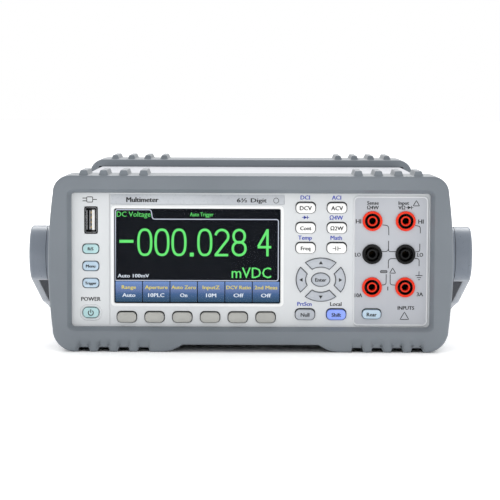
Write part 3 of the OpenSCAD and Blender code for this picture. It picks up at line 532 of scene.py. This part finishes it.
def keycap(node, drop, edge):
    """A keycap over a rectangular key: a straight skirt, a shoulder rounded by edge and a crowned top whose
    height falls with the square of the distance from the middle. Its lower side is raised by drop."""
    (x, z), (wide, tall) = outline(node)
    mid = (x, z - drop)
    size = (wide - 2 * CAP_INSET, tall - 2 * CAP_INSET - drop)
    face = millimetres(node)[0][1]
    radius = min(2.6, size[1] * 0.42)
    rows = [(0, face + 4.4), (0, face + edge + 0.1)]
    rows += [(edge * (1 - math.cos(a)), face + CROWN + edge * (1 - math.sin(a)) * 0.8)
             for a in np.linspace(0.2, math.pi / 2, 5)]
    loops = [at_depth(rounded_loop(mid, (size[0] - 2 * i, size[1] - 2 * i), max(radius - i, 0.25)), d)
             for i, d in rows]
    base = rounded_loop(mid, (size[0] - 2 * edge, size[1] - 2 * edge), max(radius - edge, 0.25))
    for part in (0.75, 0.5, 0.25, 0.05):
        loop = np.array(mid) + (base - np.array(mid)) * part
        loops.append(at_depth(loop, face + CROWN * part ** 2))
    return loft(loops), mid, face


def arc(axes, t0, t1, n):
    """Points on an ellipse with the given half axes, from angle t0 to t1."""
    t = np.linspace(t0, t1, n)
    return np.stack([axes[0] * np.cos(t), axes[1] * np.sin(t)], -1)


def arrow_loop(upright, sign, gap):
    """Outline of an arrow key shrunk by gap: an outer and an inner ellipse arc, cut by two diagonals."""
    outer = (14.35 - gap, 12.7 - gap)
    inner = (8.4 + gap, 7.0 + gap)
    shift = (0.6 if upright else -4.0) + (gap if upright else -gap) * math.sqrt(2)

    def cut(axes):
        """Angle at which the diagonal crosses an ellipse."""
        return math.atan2(axes[0], axes[1]) + math.asin(shift / math.hypot(*axes))
    a, b = cut(outer), cut(inner)
    if upright:
        loop = np.concatenate([arc(outer, a, math.pi - a, 29), arc(inner, math.pi - b, b, 21)])
        return loop * (1, sign)
    loop = np.concatenate([arc(outer, -a, a, 25), arc(inner, b, -b, 15)])
    return loop * (sign, 1)


def arrow_cap(node, upright, sign, centre):
    """A cap over an arrow key: skirt, shoulder and a flat top, each loop shrunk a little more."""
    face = millimetres(node)[0][1]
    rows = [(0.45, face + 4), (0.45, face + 0.75), (0.52, face + 0.4), (0.7, face + 0.15), (1.0, face)]
    loops = [at_depth(arrow_loop(upright, sign, g) + np.array(centre), d) for g, d in rows]
    return loft(loops)


def oval_cap(node):
    """The middle key: an ellipse with a rounded shoulder and a crowned top."""
    mid, size = (np.array(v) for v in outline(node))
    half = size / 2 - CAP_INSET
    face = millimetres(node)[0][1]
    rows = [(half, 4), (half, 0.85), (half - 0.1, 0.5), (half - 0.35, 0.25), (half - 0.75, 0.1)]
    rows += [((half - 0.75) * part, 0.1 * part) for part in (0.5, 0.05)]
    loops = [at_depth(mid + arc(axes, 0, 2 * math.pi, 49)[:-1], face + d) for axes, d in rows]
    return loft(loops), tuple(mid), face


KEYCAP_OF = {"key_run": key_cyan, "key_menu": key_ice, "key_trigger": key_ice, "key_power": key_cyan,
             "key_null": key_grey, "key_shift": key_blue, "key_rear": key_ice}
KEYCAP_OF.update({"key_" + name: key_white for name in (
    "dc_volts", "ac_volts", "continuity", "ohms", "frequency", "capacitance")})
KEYCAP_OF.update({f"softkey_{i}": key_taupe for i in range(1, 7)})
TOPS = {}
for node, material in KEYCAP_OF.items():
    small = node in ("key_run", "key_menu", "key_trigger", "key_power")
    shape, mid, face = keycap(node, 0.0 if small else 0.25, 0.5 if small else 0.75)
    piece(node + "_cap", shape, material, node, [node])
    TOPS[node] = (mid, face)
NAV = outline("key_enter")[0]
for node, upright, sign in (("key_up", True, 1), ("key_down", True, -1), ("key_right", False, 1),
                            ("key_left", False, -1)):
    piece(node + "_cap", arrow_cap(node, upright, sign, NAV), key_grey, node, [node])
shape, mid, face = oval_cap("key_enter")
piece("key_enter_cap", shape, key_grey, "key_enter", ["key_enter"])
TOPS["key_enter"] = (mid, face)


# ---------- lettering and line work ----------

EXTRUDE, PROUD = 0.02, 0.04


def glyphs(text):
    """Points and faces of a line of text as Blender sets it, extruded a little to both sides."""
    curve = bpy.data.curves.new("letters", "FONT")
    curve.resolution_u = 2
    curve.extrude = EXTRUDE
    curve.body = text
    holder = bpy.data.objects.new("letters", curve)
    bpy.context.scene.collection.objects.link(holder)
    bpy.context.view_layer.update()
    mesh = bpy.data.meshes.new_from_object(holder.evaluated_get(bpy.context.evaluated_depsgraph_get()))
    points = np.zeros(len(mesh.vertices) * 3)
    mesh.vertices.foreach_get("co", points)
    points = points.reshape(-1, 3)
    faces = [list(p.vertices) for p in mesh.polygons]
    bpy.data.objects.remove(holder)
    bpy.data.curves.remove(curve)
    bpy.data.meshes.remove(mesh)
    return points, faces


CAPITAL = float(np.ptp(glyphs("H")[0][:, 1]))


def word(text, centre, height, depth, width=None, bold=0.1):
    """A word with capitals of the given height, or squeezed to a width, standing 0.04 mm proud of a depth. It is
    struck three times, each time bold further right, 0.02 mm higher and 0.003 mm deeper, which thickens its
    upright strokes."""
    points, faces = glyphs(text)
    scale = height / CAPITAL
    wide = width / np.ptp(points[:, 0]) if width else scale
    u = (points[:, 0] - (points[:, 0].min() + points[:, 0].max()) / 2) * wide
    v = (points[:, 1] - CAPITAL / 2) * scale
    t = points[:, 2] / EXTRUDE * PROUD
    strikes = [np.stack([centre[0] + u + bold * i, depth - t + 0.003 * i, centre[1] + v + 0.02 * i], -1)
               for i in (-1, 0, 1)]
    return joined([(struck, faces) for struck in strikes])


def stroke(path, width, depth, closed=False, thick=PROUD):
    """A ribbon of constant width along a flat path, as a thin closed solid, facing the viewer."""
    path = np.asarray(path, float)
    if closed:
        along = np.roll(path, -1, 0) - np.roll(path, 1, 0)
    else:
        along = np.gradient(path, axis=0)
    along /= np.linalg.norm(along, axis=1)[:, None]
    side = np.stack([-along[:, 1], along[:, 0]], -1) * width / 2
    corners = ((-1, -thick), (1, -thick), (1, thick), (-1, thick))
    return loft(np.stack([at_depth(path + s * side, depth + d) for s, d in corners], 1), ring=closed)


def bent(*corners, radius=1.2):
    """A path through the corners, each inner one rounded by a short arc of the given radius."""
    c = np.asarray(corners, float)
    out = [c[0]]
    for before, here, after in zip(c[:-2], c[1:-1], c[2:]):
        a, b = before - here, after - here
        r = min(radius, np.linalg.norm(a) / 2, np.linalg.norm(b) / 2)
        p, q = here + a / np.linalg.norm(a) * r, here + b / np.linalg.norm(b) * r
        out += [p * (1 - t) ** 2 + here * 2 * t * (1 - t) + q * t * t for t in np.linspace(0, 1, 6)]
    out.append(c[-1])
    return np.array(out)


def polygon(corners, depth, thick=PROUD):
    """A flat filled shape with a small thickness."""
    loop = np.asarray(corners, float)
    return loft([at_depth(loop, depth + thick), at_depth(loop, depth - thick)])


def mark(node, shape):
    """A black mark printed on a key."""
    piece(node + "_mark", shape, ink_black, node, slot="jack_black", sharp=20)


INK = PANEL - 0.02
black, blue = [], []
for text, node in (("DCI", "key_dc_volts"), ("ACI", "key_ac_volts"), ("Ω4W", "key_ohms"),
                   ("Temp", "key_frequency"), ("Math", "key_capacitance")):
    (x, z), _ = TOPS[node]
    blue.append(word(text, (x - 0.3, z + 6.0), 2.3, INK))
(x, z), _ = TOPS["key_continuity"]
blue += [stroke([(x - 2.2, z + 6.1), (x + 2.0, z + 6.1)], 0.35, INK),
         polygon([(x - 1.1, z + 5.1), (x - 1.1, z + 7.1), (x + 0.8, z + 6.1)], INK),
         stroke([(x + 0.95, z + 5.1), (x + 0.95, z + 7.1)], 0.4, INK)]
(x, z), _ = TOPS["key_null"]
blue.append(word("PrtScn", (x - 0.3, z + 6.1), 2.2, INK))
(x, z), _ = TOPS["key_shift"]
black.append(word("Local", (x - 0.2, z + 6.1), 2.2, INK))
(x, z), _ = TOPS["key_power"]
black.append(word("POWER", (x, z + 7.8), 2.2, INK))

# Port glyph over the USB socket: a plug outline with its two contacts.
black += [stroke(rounded_loop((-92.1, 86.9), (3.4, 3.0), 0.5, 3), 0.4, INK, closed=True),
          stroke([(-90.4, 86.9), (-88.0, 86.9)], 0.4, INK), stroke([(-96.2, 87.7), (-93.8, 87.7)], 0.45, INK),
          stroke([(-96.2, 86.1), (-93.8, 86.1)], 0.45, INK)]
# Generic words in the name strip.
STRIP = PANEL + 0.14
black += [word("Multimeter", (-62.0, 86.9), 2.8, STRIP, bold=0.18),
          word("6½ Digit", (0.5, 86.7), 2.3, STRIP, width=17.0, bold=0.14),
          stroke(rounded_loop((14.4, 86.6), (2.9, 2.9), 1.44, 8), 0.3, STRIP, closed=True)]

# Terminal plate: names of the inputs and the line work between the jacks.
black += [word("Sense", (69.7, 85.5), 2.0, INK), word("Ω4W", (69.7, 82.8), 2.0, INK),
          word("Input", (87.3, 85.5), 2.0, INK), word("VΩ", (86.2, 82.8), 2.0, INK),
          stroke([(88.6, 82.9), (92.8, 82.9)], 0.3, INK),
          polygon([(89.6, 81.9), (89.6, 83.9), (91.5, 82.9)], INK),
          stroke([(91.7, 81.9), (91.7, 83.9)], 0.35, INK),
          word("HI", (61.5, 74.9), 2.4, INK), word("HI", (97.2, 74.9), 2.4, INK),
          word("LO", (61.3, 55.8), 2.2, INK, width=3.2), word("LO", (97.0, 55.8), 2.2, INK, width=3.2),
          word("10A", (61.8, 32.4), 2.2, INK, width=4.2), word("3A", (97.0, 33.1), 2.2, INK),
          word("I", (78.6, 36.4), 2.2, INK)]
for path in (((75.2, 72.9), (78.8, 72.6), (78.9, 67.0)), ((78.8, 63.8), (78.8, 57.6), (74.6, 57.6)),
             ((78.8, 60.2), (78.8, 57.6), (83.0, 57.6)), ((94.0, 72.6), (96.9, 72.2), (96.9, 68.2)),
             ((96.7, 62.2), (96.7, 57.6), (94.2, 57.6)), ((93.9, 53.7), (96.4, 53.6), (96.4, 49.3)),
             ((96.4, 46.3), (96.4, 44.0)), ((83.0, 53.6), (78.8, 53.6), (78.8, 48.0)),
             ((77.6, 44.6), (77.6, 38.5), (74.6, 38.4)), ((79.9, 44.6), (79.9, 38.5), (82.8, 38.4)),
             ((94.4, 43.9), (98.4, 43.9)), ((95.2, 42.7), (97.6, 42.7)), ((95.8, 41.5), (97.0, 41.5))):
    black.append(stroke(bent(*path, radius=2.0), 0.42, INK))
black += [stroke(rounded_loop((76.2, 46.1), (3.8, 1.2), 0.55, 4), 0.42, INK, closed=True),
          stroke([(74.6, 46.1), (77.8, 46.1)], 0.3, INK)]
for cx, cz, half in ((81.3, 46.7, 1.7), (94.5, 85.4, 1.8), (88.3, 20.7, 2.5)):
    tri = np.array([(cx - half, cz - half * 0.85), (cx + half, cz - half * 0.85), (cx, cz + half * 0.85)])
    loop = np.concatenate([np.linspace(tri[i], tri[(i + 1) % 3], 6)[:-1] for i in range(3)])
    black.append(stroke(loop, 0.42, INK, closed=True))
black.append(word("INPUTS", (89.1, 25.2), 2.0, INK))
piece("panel_black_print", joined(black), ink_black, "instrument", slot="jack_black", sharp=20)
piece("panel_blue_print", joined(blue), ink_blue, "instrument", slot="key_blue", sharp=20)

# Marks printed on the keys themselves.
for node, text, height in (("key_run", "R/S", 1.7), ("key_menu", "Menu", 1.7), ("key_trigger", "Trigger", 1.5),
                           ("key_dc_volts", "DCV", 2.3), ("key_ac_volts", "ACV", 2.3),
                           ("key_continuity", "Cont", 2.1), ("key_ohms", "Ω2W", 2.2),
                           ("key_frequency", "Freq", 2.1), ("key_null", "Null", 2.1), ("key_shift", "Shift", 2.1),
                           ("key_rear", "Rear", 2.1), ("key_enter", "Enter", 2.0)):
    (x, z), face = TOPS[node]
    mark(node, word(text, (x, z), height, face - 0.01))
(x, z), face = TOPS["key_capacitance"]
mark("key_capacitance", joined([
    stroke([(x - 2.4, z), (x - 0.6, z)], 0.35, face), stroke([(x + 0.6, z), (x + 2.4, z)], 0.35, face),
    stroke([(x - 0.6, z - 1.2), (x - 0.6, z + 1.2)], 0.4, face),
    stroke([(x + 0.6, z - 1.2), (x + 0.6, z + 1.2)], 0.4, face)]))
for node, away in (("key_up", (0, 1)), ("key_down", (0, -1)), ("key_right", (1, 0)), ("key_left", (-1, 0))):
    away = np.array(away, float)
    side = np.array([-away[1], away[0]])
    middle = np.array(NAV) + away * (11.2 if away[0] else 9.8)
    tip = [middle + away * 1.1, middle - away * 0.8 + side * 1.15, middle - away * 0.8 - side * 1.15]
    mark(node, polygon(tip, millimetres(node)[0][1]))
(x, z), face = TOPS["key_power"]
turn = np.linspace(math.radians(125), math.radians(415), 28)
mark("key_power", joined([
    stroke(np.stack([x + 1.45 * np.cos(turn), z - 0.1 + 1.45 * np.sin(turn)], -1), 0.5, face),
    stroke([(x, z - 0.1), (x, z + 1.9)], 0.5, face)]))
piece("power_key_ring", trim_ring(((x, z), (10.2, 6.9), 3.4), ((x, z), (12.8, 9.5), 4.7),
      [(0, PANEL + 0.4), (0, PANEL - 0.1), (0.2, PANEL - 0.4), (0.5, PANEL - 0.55), (0.8, PANEL - 0.4),
       (1, PANEL - 0.05), (1, PANEL + 0.2)]), silver_abs, "instrument", slot="panel_plastic")


# ---------- display ----------

def pane(depth, thick, radius):
    """A flat bar that fills the window and reaches 0.4 mm behind its bezel."""
    (x, z), (wide, tall), _ = grown(WINDOW, 0.8, 0)
    return bar((x - wide / 2, depth, z - tall / 2), (x + wide / 2, depth + thick, z + tall / 2), radius)


def shown(name, shape, material):
    """A lit part of the display."""
    piece(name, shape, material, "instrument", slot="display_module", sharp=20)


FACE = GLASS + 1.3
LIT = FACE - 0.08
piece("display_glass", pane(GLASS, 0.8, 1.0), glass, "instrument", ["display_window"])
piece("display_face", pane(FACE, 0.2, 0.5), screen_black, "instrument", slot="display_module")


def digit(kind, centre, width, height):
    """Centreline of a large numeral: 0 is an oval, 8 two stacked ovals, 2 a hook with a foot, 4 an open fork."""
    w, h = width / 2, height / 2
    t = np.linspace(0, 2 * math.pi, 41)[:-1]

    def oval(cz, a, b, p=0.78):
        """A superellipse about the height cz."""
        return np.stack([a * np.sign(np.cos(t)) * np.abs(np.cos(t)) ** p,
                         cz + b * np.sign(np.sin(t)) * np.abs(np.sin(t)) ** p], -1)
    if kind == "0":
        paths = [(oval(0, w, h), True)]
    elif kind == "8":
        paths = [(oval(h * 0.5, w * 0.88, h * 0.5, 0.95), True), (oval(-h * 0.48, w, h * 0.52, 0.95), True)]
    elif kind == "2":
        hook = np.linspace(math.radians(170), math.radians(-38), 24)
        top = np.stack([w * np.cos(hook), h * 0.48 + h * 0.52 * np.sin(hook)], -1)
        paths = [(np.concatenate([top, [(-w, -h)]]), False), ([(-w - 0.5, -h), (w, -h)], False)]
    else:
        paths = [([(w * 0.45, h), (-w, -h * 0.32)], False),
                 ([(-w - 0.3, -h * 0.36), (w * 1.05, -h * 0.36)], False),
                 ([(w * 0.45, h + 0.5), (w * 0.45, -h - 0.6)], False)]
    return [(np.asarray(p) + np.array(centre), c) for p, c in paths]


reading = []
for kind, x in (("0", -60.8), ("0", -51.0), ("0", -41.2), ("0", -26.4), ("2", -16.6), ("8", -6.7), ("4", 7.9)):
    for path, closed in digit(kind, (x, 62.3), 7.3, 14.5):
        reading.append(stroke(path, 1.4, LIT, closed))
reading += [stroke([(-75.4, 62.8), (-67.3, 62.8)], 1.7, LIT), stroke([(-35.0, 55.3), (-32.7, 55.3)], 2.2, LIT),
            word("mVDC", (0.4, 44.9), 6.0, LIT, width=22.6, bold=0.06)]
shown("display_reading", joined(reading), digit_green)
shown("display_green_text", joined([word("DC Voltage", (-67.2, 78.4), 2.9, LIT, width=19.4, bold=0.06),
                                    word("Auto Trigger", (-28.2, 78.4), 2.2, LIT, width=13.4, bold=0.06)]),
      text_green)
frame_path = bent((-77.6, 40.3), (-77.6, 81.0), (-57.2, 81.0), (-56.4, 75.6), (15.8, 75.6), (15.8, 40.3),
                  (-77.6, 40.3), radius=1.4)
boxes, names, states = [], [], []
edges = np.linspace(-77.9, 16.7, 7)
for left, right, name, state in zip(edges, edges[1:], (
        "Range", "Aperture", "Auto Zero", "InputZ", "DCV Ratio", "2nd Meas"), (
        "Auto", "10PLC", "On", "10M", "Off", "Off")):
    mid_x = (left + right) / 2
    box = rounded_loop((mid_x, (BOX_LOW + BOX_HIGH) / 2), (right - left - 0.5, BOX_HIGH - BOX_LOW), 0.3, 2)
    boxes.append(polygon(box, FACE - 0.03, 0.02))
    names.append(word(name, (mid_x, 36.4), 2.0, LIT, width=min(14.0, 1.62 * len(name)), bold=0.06))
    states.append(word(state, (mid_x, 31.8), 2.1, LIT, width=1.7 * len(state) + 0.6))
states.append(word("Auto 100mV", (-67.4, 43.0), 2.0, LIT, width=18.0, bold=0.06))
shown("display_soft_key_boxes", joined(boxes), glow_blue)
shown("display_yellow_text", joined(names), text_yellow)
shown("display_white_text", joined(states), text_white)
shown("display_frame_line", stroke(frame_path[:-1], 0.5, LIT, closed=True), line_white)


# ---------- sockets ----------

JACK_PROFILE = [(5.7, -20), (5.7, 0.75), (5.62, 0.93), (5.45, 1.0), (4.55, 1.0), (4.4, 0.93), (4.35, 0.75),
                (4.35, -10), (2.85, -10), (2.85, 0.55), (2.8, 0.72), (2.68, 0.8), (2.15, 0.8), (2.02, 0.72),
                (1.98, 0.5), (1.98, -6), (3.0, -20)]


WELL_PROFILE = [(4.34, 0.74), (4.34, -9.9), (2.86, -9.9), (2.86, 0.3), (2.92, 0.3), (2.92, -9.8),
                (4.22, -9.8), (4.22, 0.74)]
JACK_X, HIGH_ROW, BLACK_ROW, LOW_ROW = (69.5, 88.5), 75.1, 56.1, 37.1
FRONT_JACKS = [(x, PANEL, z) for x in JACK_X for z in (HIGH_ROW, BLACK_ROW, LOW_ROW)]
REAR_JACKS = [(x, REAR, z) for z in (HIGH_ROW, BLACK_ROW, LOW_ROW) for x in JACK_X][:5]


def jack_parts(profile, rows, ring=False):
    """The same turned part in every jack of the given rows, facing the viewer in front and away at the rear."""
    return joined([loft(lathe(spot, profile, facing), ring)
                   for spots, facing in ((FRONT_JACKS, -1), (REAR_JACKS, 1)) for spot in spots if spot[2] in rows])


piece("red_jack_insulators", jack_parts(JACK_PROFILE, (HIGH_ROW, LOW_ROW)), red_nylon, "instrument",
      ["jacks_red"])
piece("black_jack_insulators", jack_parts(JACK_PROFILE, (BLACK_ROW,)), black_nylon, "instrument",
      ["jacks_black"])
piece("black_jack_wells", jack_parts(WELL_PROFILE, (HIGH_ROW, BLACK_ROW, LOW_ROW), ring=True), black_nylon,
      "instrument", slot="jack_black")
USB_MID = outline("usb_host_port")[0]
usb_rows = [(0, 18), (0, 6.5), (0.1, 6.35), (0.3, 6.3), (0.42, 6.5), (0.45, 17)]
piece("usb_shell", loft([at_depth(rounded_loop(USB_MID, (6.9 - 2 * i, 14.6 - 2 * i), 0.8 - i * 0.6), d)
                         for i, d in usb_rows]), nickel, "instrument", ["usb_host_port"])
piece("usb_black_frame", trim_ring((USB_MID, (6.6, 14.4), 0.9), (USB_MID, (7.9, 15.9), 1.4), [
    (0, PANEL + 1.2), (0, PANEL + 0.1), (0.3, PANEL - 0.08), (0.9, PANEL - 0.06), (1, PANEL + 0.05),
    (1, PANEL + 0.3)]), black_nylon, "instrument", slot="jack_black")


def usb_bar(low, high, radius):
    """A bar whose corners are counted from the middle of the socket's mouth."""
    mouth = np.array([USB_MID[0], PANEL, USB_MID[1]])
    return bar(mouth + low, mouth + high, radius)


# A black plate deep in the socket: painted shade for the socket's dark inside.
piece("usb_painted_shade_well", usb_bar((-2.9, 5.2, -6.8), (2.9, 5.7, 6.8), 0.5), black_nylon, "instrument",
      slot="jack_black")
piece("usb_tongue", usb_bar((0.3, 1.6, -5.8), (2.0, 11, 5.8), 0.4), ink_white, "instrument",
      slot="nickel_plate")
piece("usb_contacts", joined([usb_bar((-0.5, 2.6, z - 0.6), (0.32, 9.5, z + 0.6), 0.2)
                              for z in (-4.2, -1.4, 1.4, 4.2)]), brass, "instrument", slot="jack_brass")
piece("usb_spring_leaves", joined([usb_bar((x, 1.4, -5.6), (x + 0.45, 3.4, 5.6), 0.15) for x in (-2.7, -0.95)]),
      nickel, "instrument", slot="nickel_plate")


# ---------- handle ----------

HANDLE = millimetres("handle")
HUB_IN, HUB_OUT = 121.8, HANDLE[1][0]
ARM_OUT = HUB_OUT - 0.15
# Depth, height and radius of the discs that an arm joins, from the pivot to the grip.
ARM_DISCS = np.array([(64.0, 51.5, 16.5), (122.0, 24.8, 9.0), (160.0, 16.0, 7.8), (188.0, 8.0, 7.2)])
PIVOT = ARM_DISCS[0, :2]
ARM_THICK, GRIP_FRONT, GRIP_BACK, GRIP_THICK, BEND = 4.0, 174.0, 202.0, 5.8, 9.0


def arm_edges(z):
    """Front and back depth of an arm at each height: the least and the greatest depth at which the height line
    crosses any disc of a chain whose centres and radii run evenly from one disc of the arm to the next."""
    t = np.linspace(0, 3, 601)
    depth, height, radius = (np.interp(t, np.arange(4), ARM_DISCS[:, i]) for i in range(3))
    inside = radius ** 2 - (z[:, None] - height) ** 2
    half = np.sqrt(np.maximum(inside, 0))
    front = np.where(inside > 0, depth - half, 1e3).min(1)
    back = np.where(inside > 0, depth + half, -1e3).max(1)
    return front, back


def strap_shape():
    """The bail's strap: a flat section with round edges carried down one arm, through a quarter bend, under the
    case and up the other side. Each section spans the arm's two edges at its height, or the grip's."""
    fall = np.linspace(50, BEND + HANDLE[0][2], 60)
    turn = np.linspace(0, np.pi / 2, 9)[1:]
    floor, out_x = HANDLE[0][2], ARM_OUT
    run = np.linspace(out_x - BEND, 0, 24)[1:]
    outer = np.stack([np.concatenate([fall * 0 + out_x, out_x - BEND + BEND * np.cos(turn), run]),
                      np.concatenate([fall, floor + BEND - BEND * np.sin(turn), run * 0 + floor])], -1)
    inner = np.stack([np.concatenate([fall * 0 + out_x - ARM_THICK,
                                      out_x - BEND + (BEND - ARM_THICK) * np.cos(turn), run]),
                      np.concatenate([fall, floor + BEND - (BEND - GRIP_THICK) * np.sin(turn),
                                      run * 0 + floor + GRIP_THICK])], -1)
    front, back = arm_edges(np.maximum((outer + inner)[:, 1] / 2, 3.7))
    swing = np.clip((np.arange(len(outer)) - len(fall)) / len(turn), 0, 1)
    front = np.minimum(front, GRIP_FRONT)
    front, back = front + (GRIP_FRONT - front) * swing, back + (GRIP_BACK - back) * swing
    share = np.array([0.0, 0.06, 0.17, 0.33, 0.67, 0.83, 0.94, 1.0])
    inset = 1.3 * (1 - np.sqrt(1 - np.clip(1 - np.minimum(share, 1 - share) * 3, 0, 1) ** 2))
    flat = outer[:, None] + (inner - outer)[:, None] * share[:, None]
    ahead = np.stack([flat[..., 0], front[:, None] + inset, flat[..., 1]], -1)
    behind = np.stack([flat[..., 0], back[:, None] - inset, flat[..., 1]], -1)[:, ::-1]
    loops = np.concatenate([ahead, behind], 1)
    return loft(np.concatenate([loops, loops[-2::-1] * (-1, 1, 1)]))


def hub_shape(side):
    """A hub: circles about the pivot line, stacked along X into a drum with a bevelled rim and a flat face."""
    wide = HUB_OUT - HUB_IN
    profile = [(0.01, 0.0), (16.3, 0.0), (16.5, 0.2), (16.5, wide - 1.3), (16.42, wide - 0.95),
               (16.1, wide - 0.55), (15.6, wide - 0.15), (15.2, wide), (8.0, wide), (0.01, wide)]
    turn = np.linspace(0, 2 * np.pi, 96, endpoint=False)
    return loft([np.stack([np.full(len(turn), side * (HUB_IN + h)), PIVOT[0] + r * np.cos(turn),
                           PIVOT[1] + r * np.sin(turn)], -1) for r, h in profile])


def arm_shade_sheet_shape(side):
    """A dark sheet, 0.4 mm thick against the arm's inside, that paints shade on the inner face of an arm. At each
    height it runs between the arm's two edges, 1.2 mm in from both."""
    z = np.linspace(12, 44, 33)
    front, back = arm_edges(z) + np.array([[1.2], [-1.2]])
    sunk, shown_x = ARM_OUT - ARM_THICK + 0.1, ARM_OUT - ARM_THICK - 0.3
    corners = [(sunk, front), (sunk, back), (shown_x, back), (shown_x, front)]
    return loft(np.stack([np.stack([z * 0 + side * x, depth, z], -1) for x, depth in corners], 1))


piece("handle_bail", joined([strap_shape(), hub_shape(1), hub_shape(-1)]), handle_nylon, "handle", ["handle"])
# Painted shade: a dark sheet on the inner faces of the arms, where the gap to the case lies in shade.
piece("handle_arm_shade_sheet", joined([arm_shade_sheet_shape(1), arm_shade_sheet_shape(-1)]), arm_shade_nylon, "handle",
      slot=SLOT_OF["handle"])


# ---------- CAD nodes that keep their shape ----------

KEPT = {"case_sleeve": powder_coat, "rear_panel": rear_coat, "option_slot_cover": rear_coat,
        "front_panel": silver_abs, "terminal_plate": cool_abs, "handle_mount_left": handle_nylon,
        "handle_mount_right": handle_nylon, "chassis_tray": zinc, "rear_screws": zinc, "jack_nuts": nickel,
        "jack_contacts": dull_brass, "board_standoffs": brass, "display_module": black_abs, "key_membrane": silicone,
        "keypad_board": laminate, "main_board": laminate, "mains_inlet": black_abs, "mains_inlet_pins": nickel,
        "fuse_drawer": black_abs, "fan_frame": black_abs, "fan_rotor": black_abs, "fan_guard": nickel,
        "bnc_connectors": nickel, "data_ports": nickel, "current_fuse_holder": black_abs,
        "current_fuse_cap": black_abs, "transformer": core_steel, "shield_can": nickel,
        "ribbon_cable": ribbon_pvc}
for node, material in KEPT.items():
    slots = NODES[node].data.materials
    for i in range(max(1, len(slots))):
        if slots:
            slots[i] = material
        else:
            slots.append(material)


# ---------- floor and light ----------

def make_floor():
    """A wide pale floor with painted light: it glows a little, apart from the box of ground that the instrument
    covers, which stays unglowing as a painted shadow under the instrument. The glow fades in where the larger of |x|
    * 1.45 and |y| passes the front face, at 0.15 metres."""
    made, tree = blank("pale_floor_painted_glow_and_shadow")
    where = add(tree, "ShaderNodeTexCoord").outputs["Object"]
    patch = add(tree, "ShaderNodeTexNoise", {"Vector": where, "Scale": 2.0})
    tone = add(tree, "ShaderNodeMapRange", {"Value": patch.outputs["Fac"], "To Min": 0.97, "To Max": 0.99})
    axes = add(tree, "ShaderNodeSeparateXYZ", {"Vector": where})
    wide = add(tree, "ShaderNodeMath", {0: axes.outputs["X"], 1: 1.45}, operation="MULTIPLY")
    wide = add(tree, "ShaderNodeMath", {0: wide.outputs["Value"]}, operation="ABSOLUTE")
    deep = add(tree, "ShaderNodeMath", {0: axes.outputs["Y"]}, operation="ABSOLUTE")
    away = add(tree, "ShaderNodeMath", {0: wide.outputs["Value"], 1: deep.outputs["Value"]}, operation="MAXIMUM")
    # Painted light and shade: the floor glows outside the instrument's footprint and is left unglowing under it, a
    # painted shadow.
    glow = add(tree, "ShaderNodeMapRange", {"Value": away.outputs["Value"], "From Min": 0.149, "From Max": 0.157,
                                            "To Min": 0.0, "To Max": 0.27})
    skin = add(tree, "ShaderNodeBsdfPrincipled", {"Base Color": tone.outputs["Result"], "Roughness": 0.7,
                                                  "Specular IOR Level": 0.2, "Emission Color": (1, 1, 1, 1),
                                                  "Emission Strength": glow.outputs["Result"]})
    add(tree, "ShaderNodeOutputMaterial", {"Surface": skin.outputs["BSDF"]})
    mesh = bpy.data.meshes.new("studio_floor")
    mesh.from_pydata([(-8, -8, 0), (8, -8, 0), (8, 8, 0), (-8, 8, 0)], [], [(0, 1, 2, 3)])
    mesh.materials.append(made)
    floor = bpy.data.objects.new("studio_floor", mesh)
    bpy.context.scene.collection.objects.link(floor)


make_floor()
world = bpy.data.worlds.new("studio_surround")
bpy.context.scene.world = world
world.use_nodes = True
world.node_tree.nodes.clear()
sky = add(world.node_tree, "ShaderNodeBackground", {"Color": (1, 1, 1, 1), "Strength": 1.0})
add(world.node_tree, "ShaderNodeOutputWorld", {"Surface": sky.outputs["Background"]})
add_softbox("overhead_softbox", place=(0, 1.6, 1.8), aim=(0, 0, 0.05), size=(2.4, 1.2), power=38.0)
bpy.context.scene.view_settings.view_transform = "Standard"
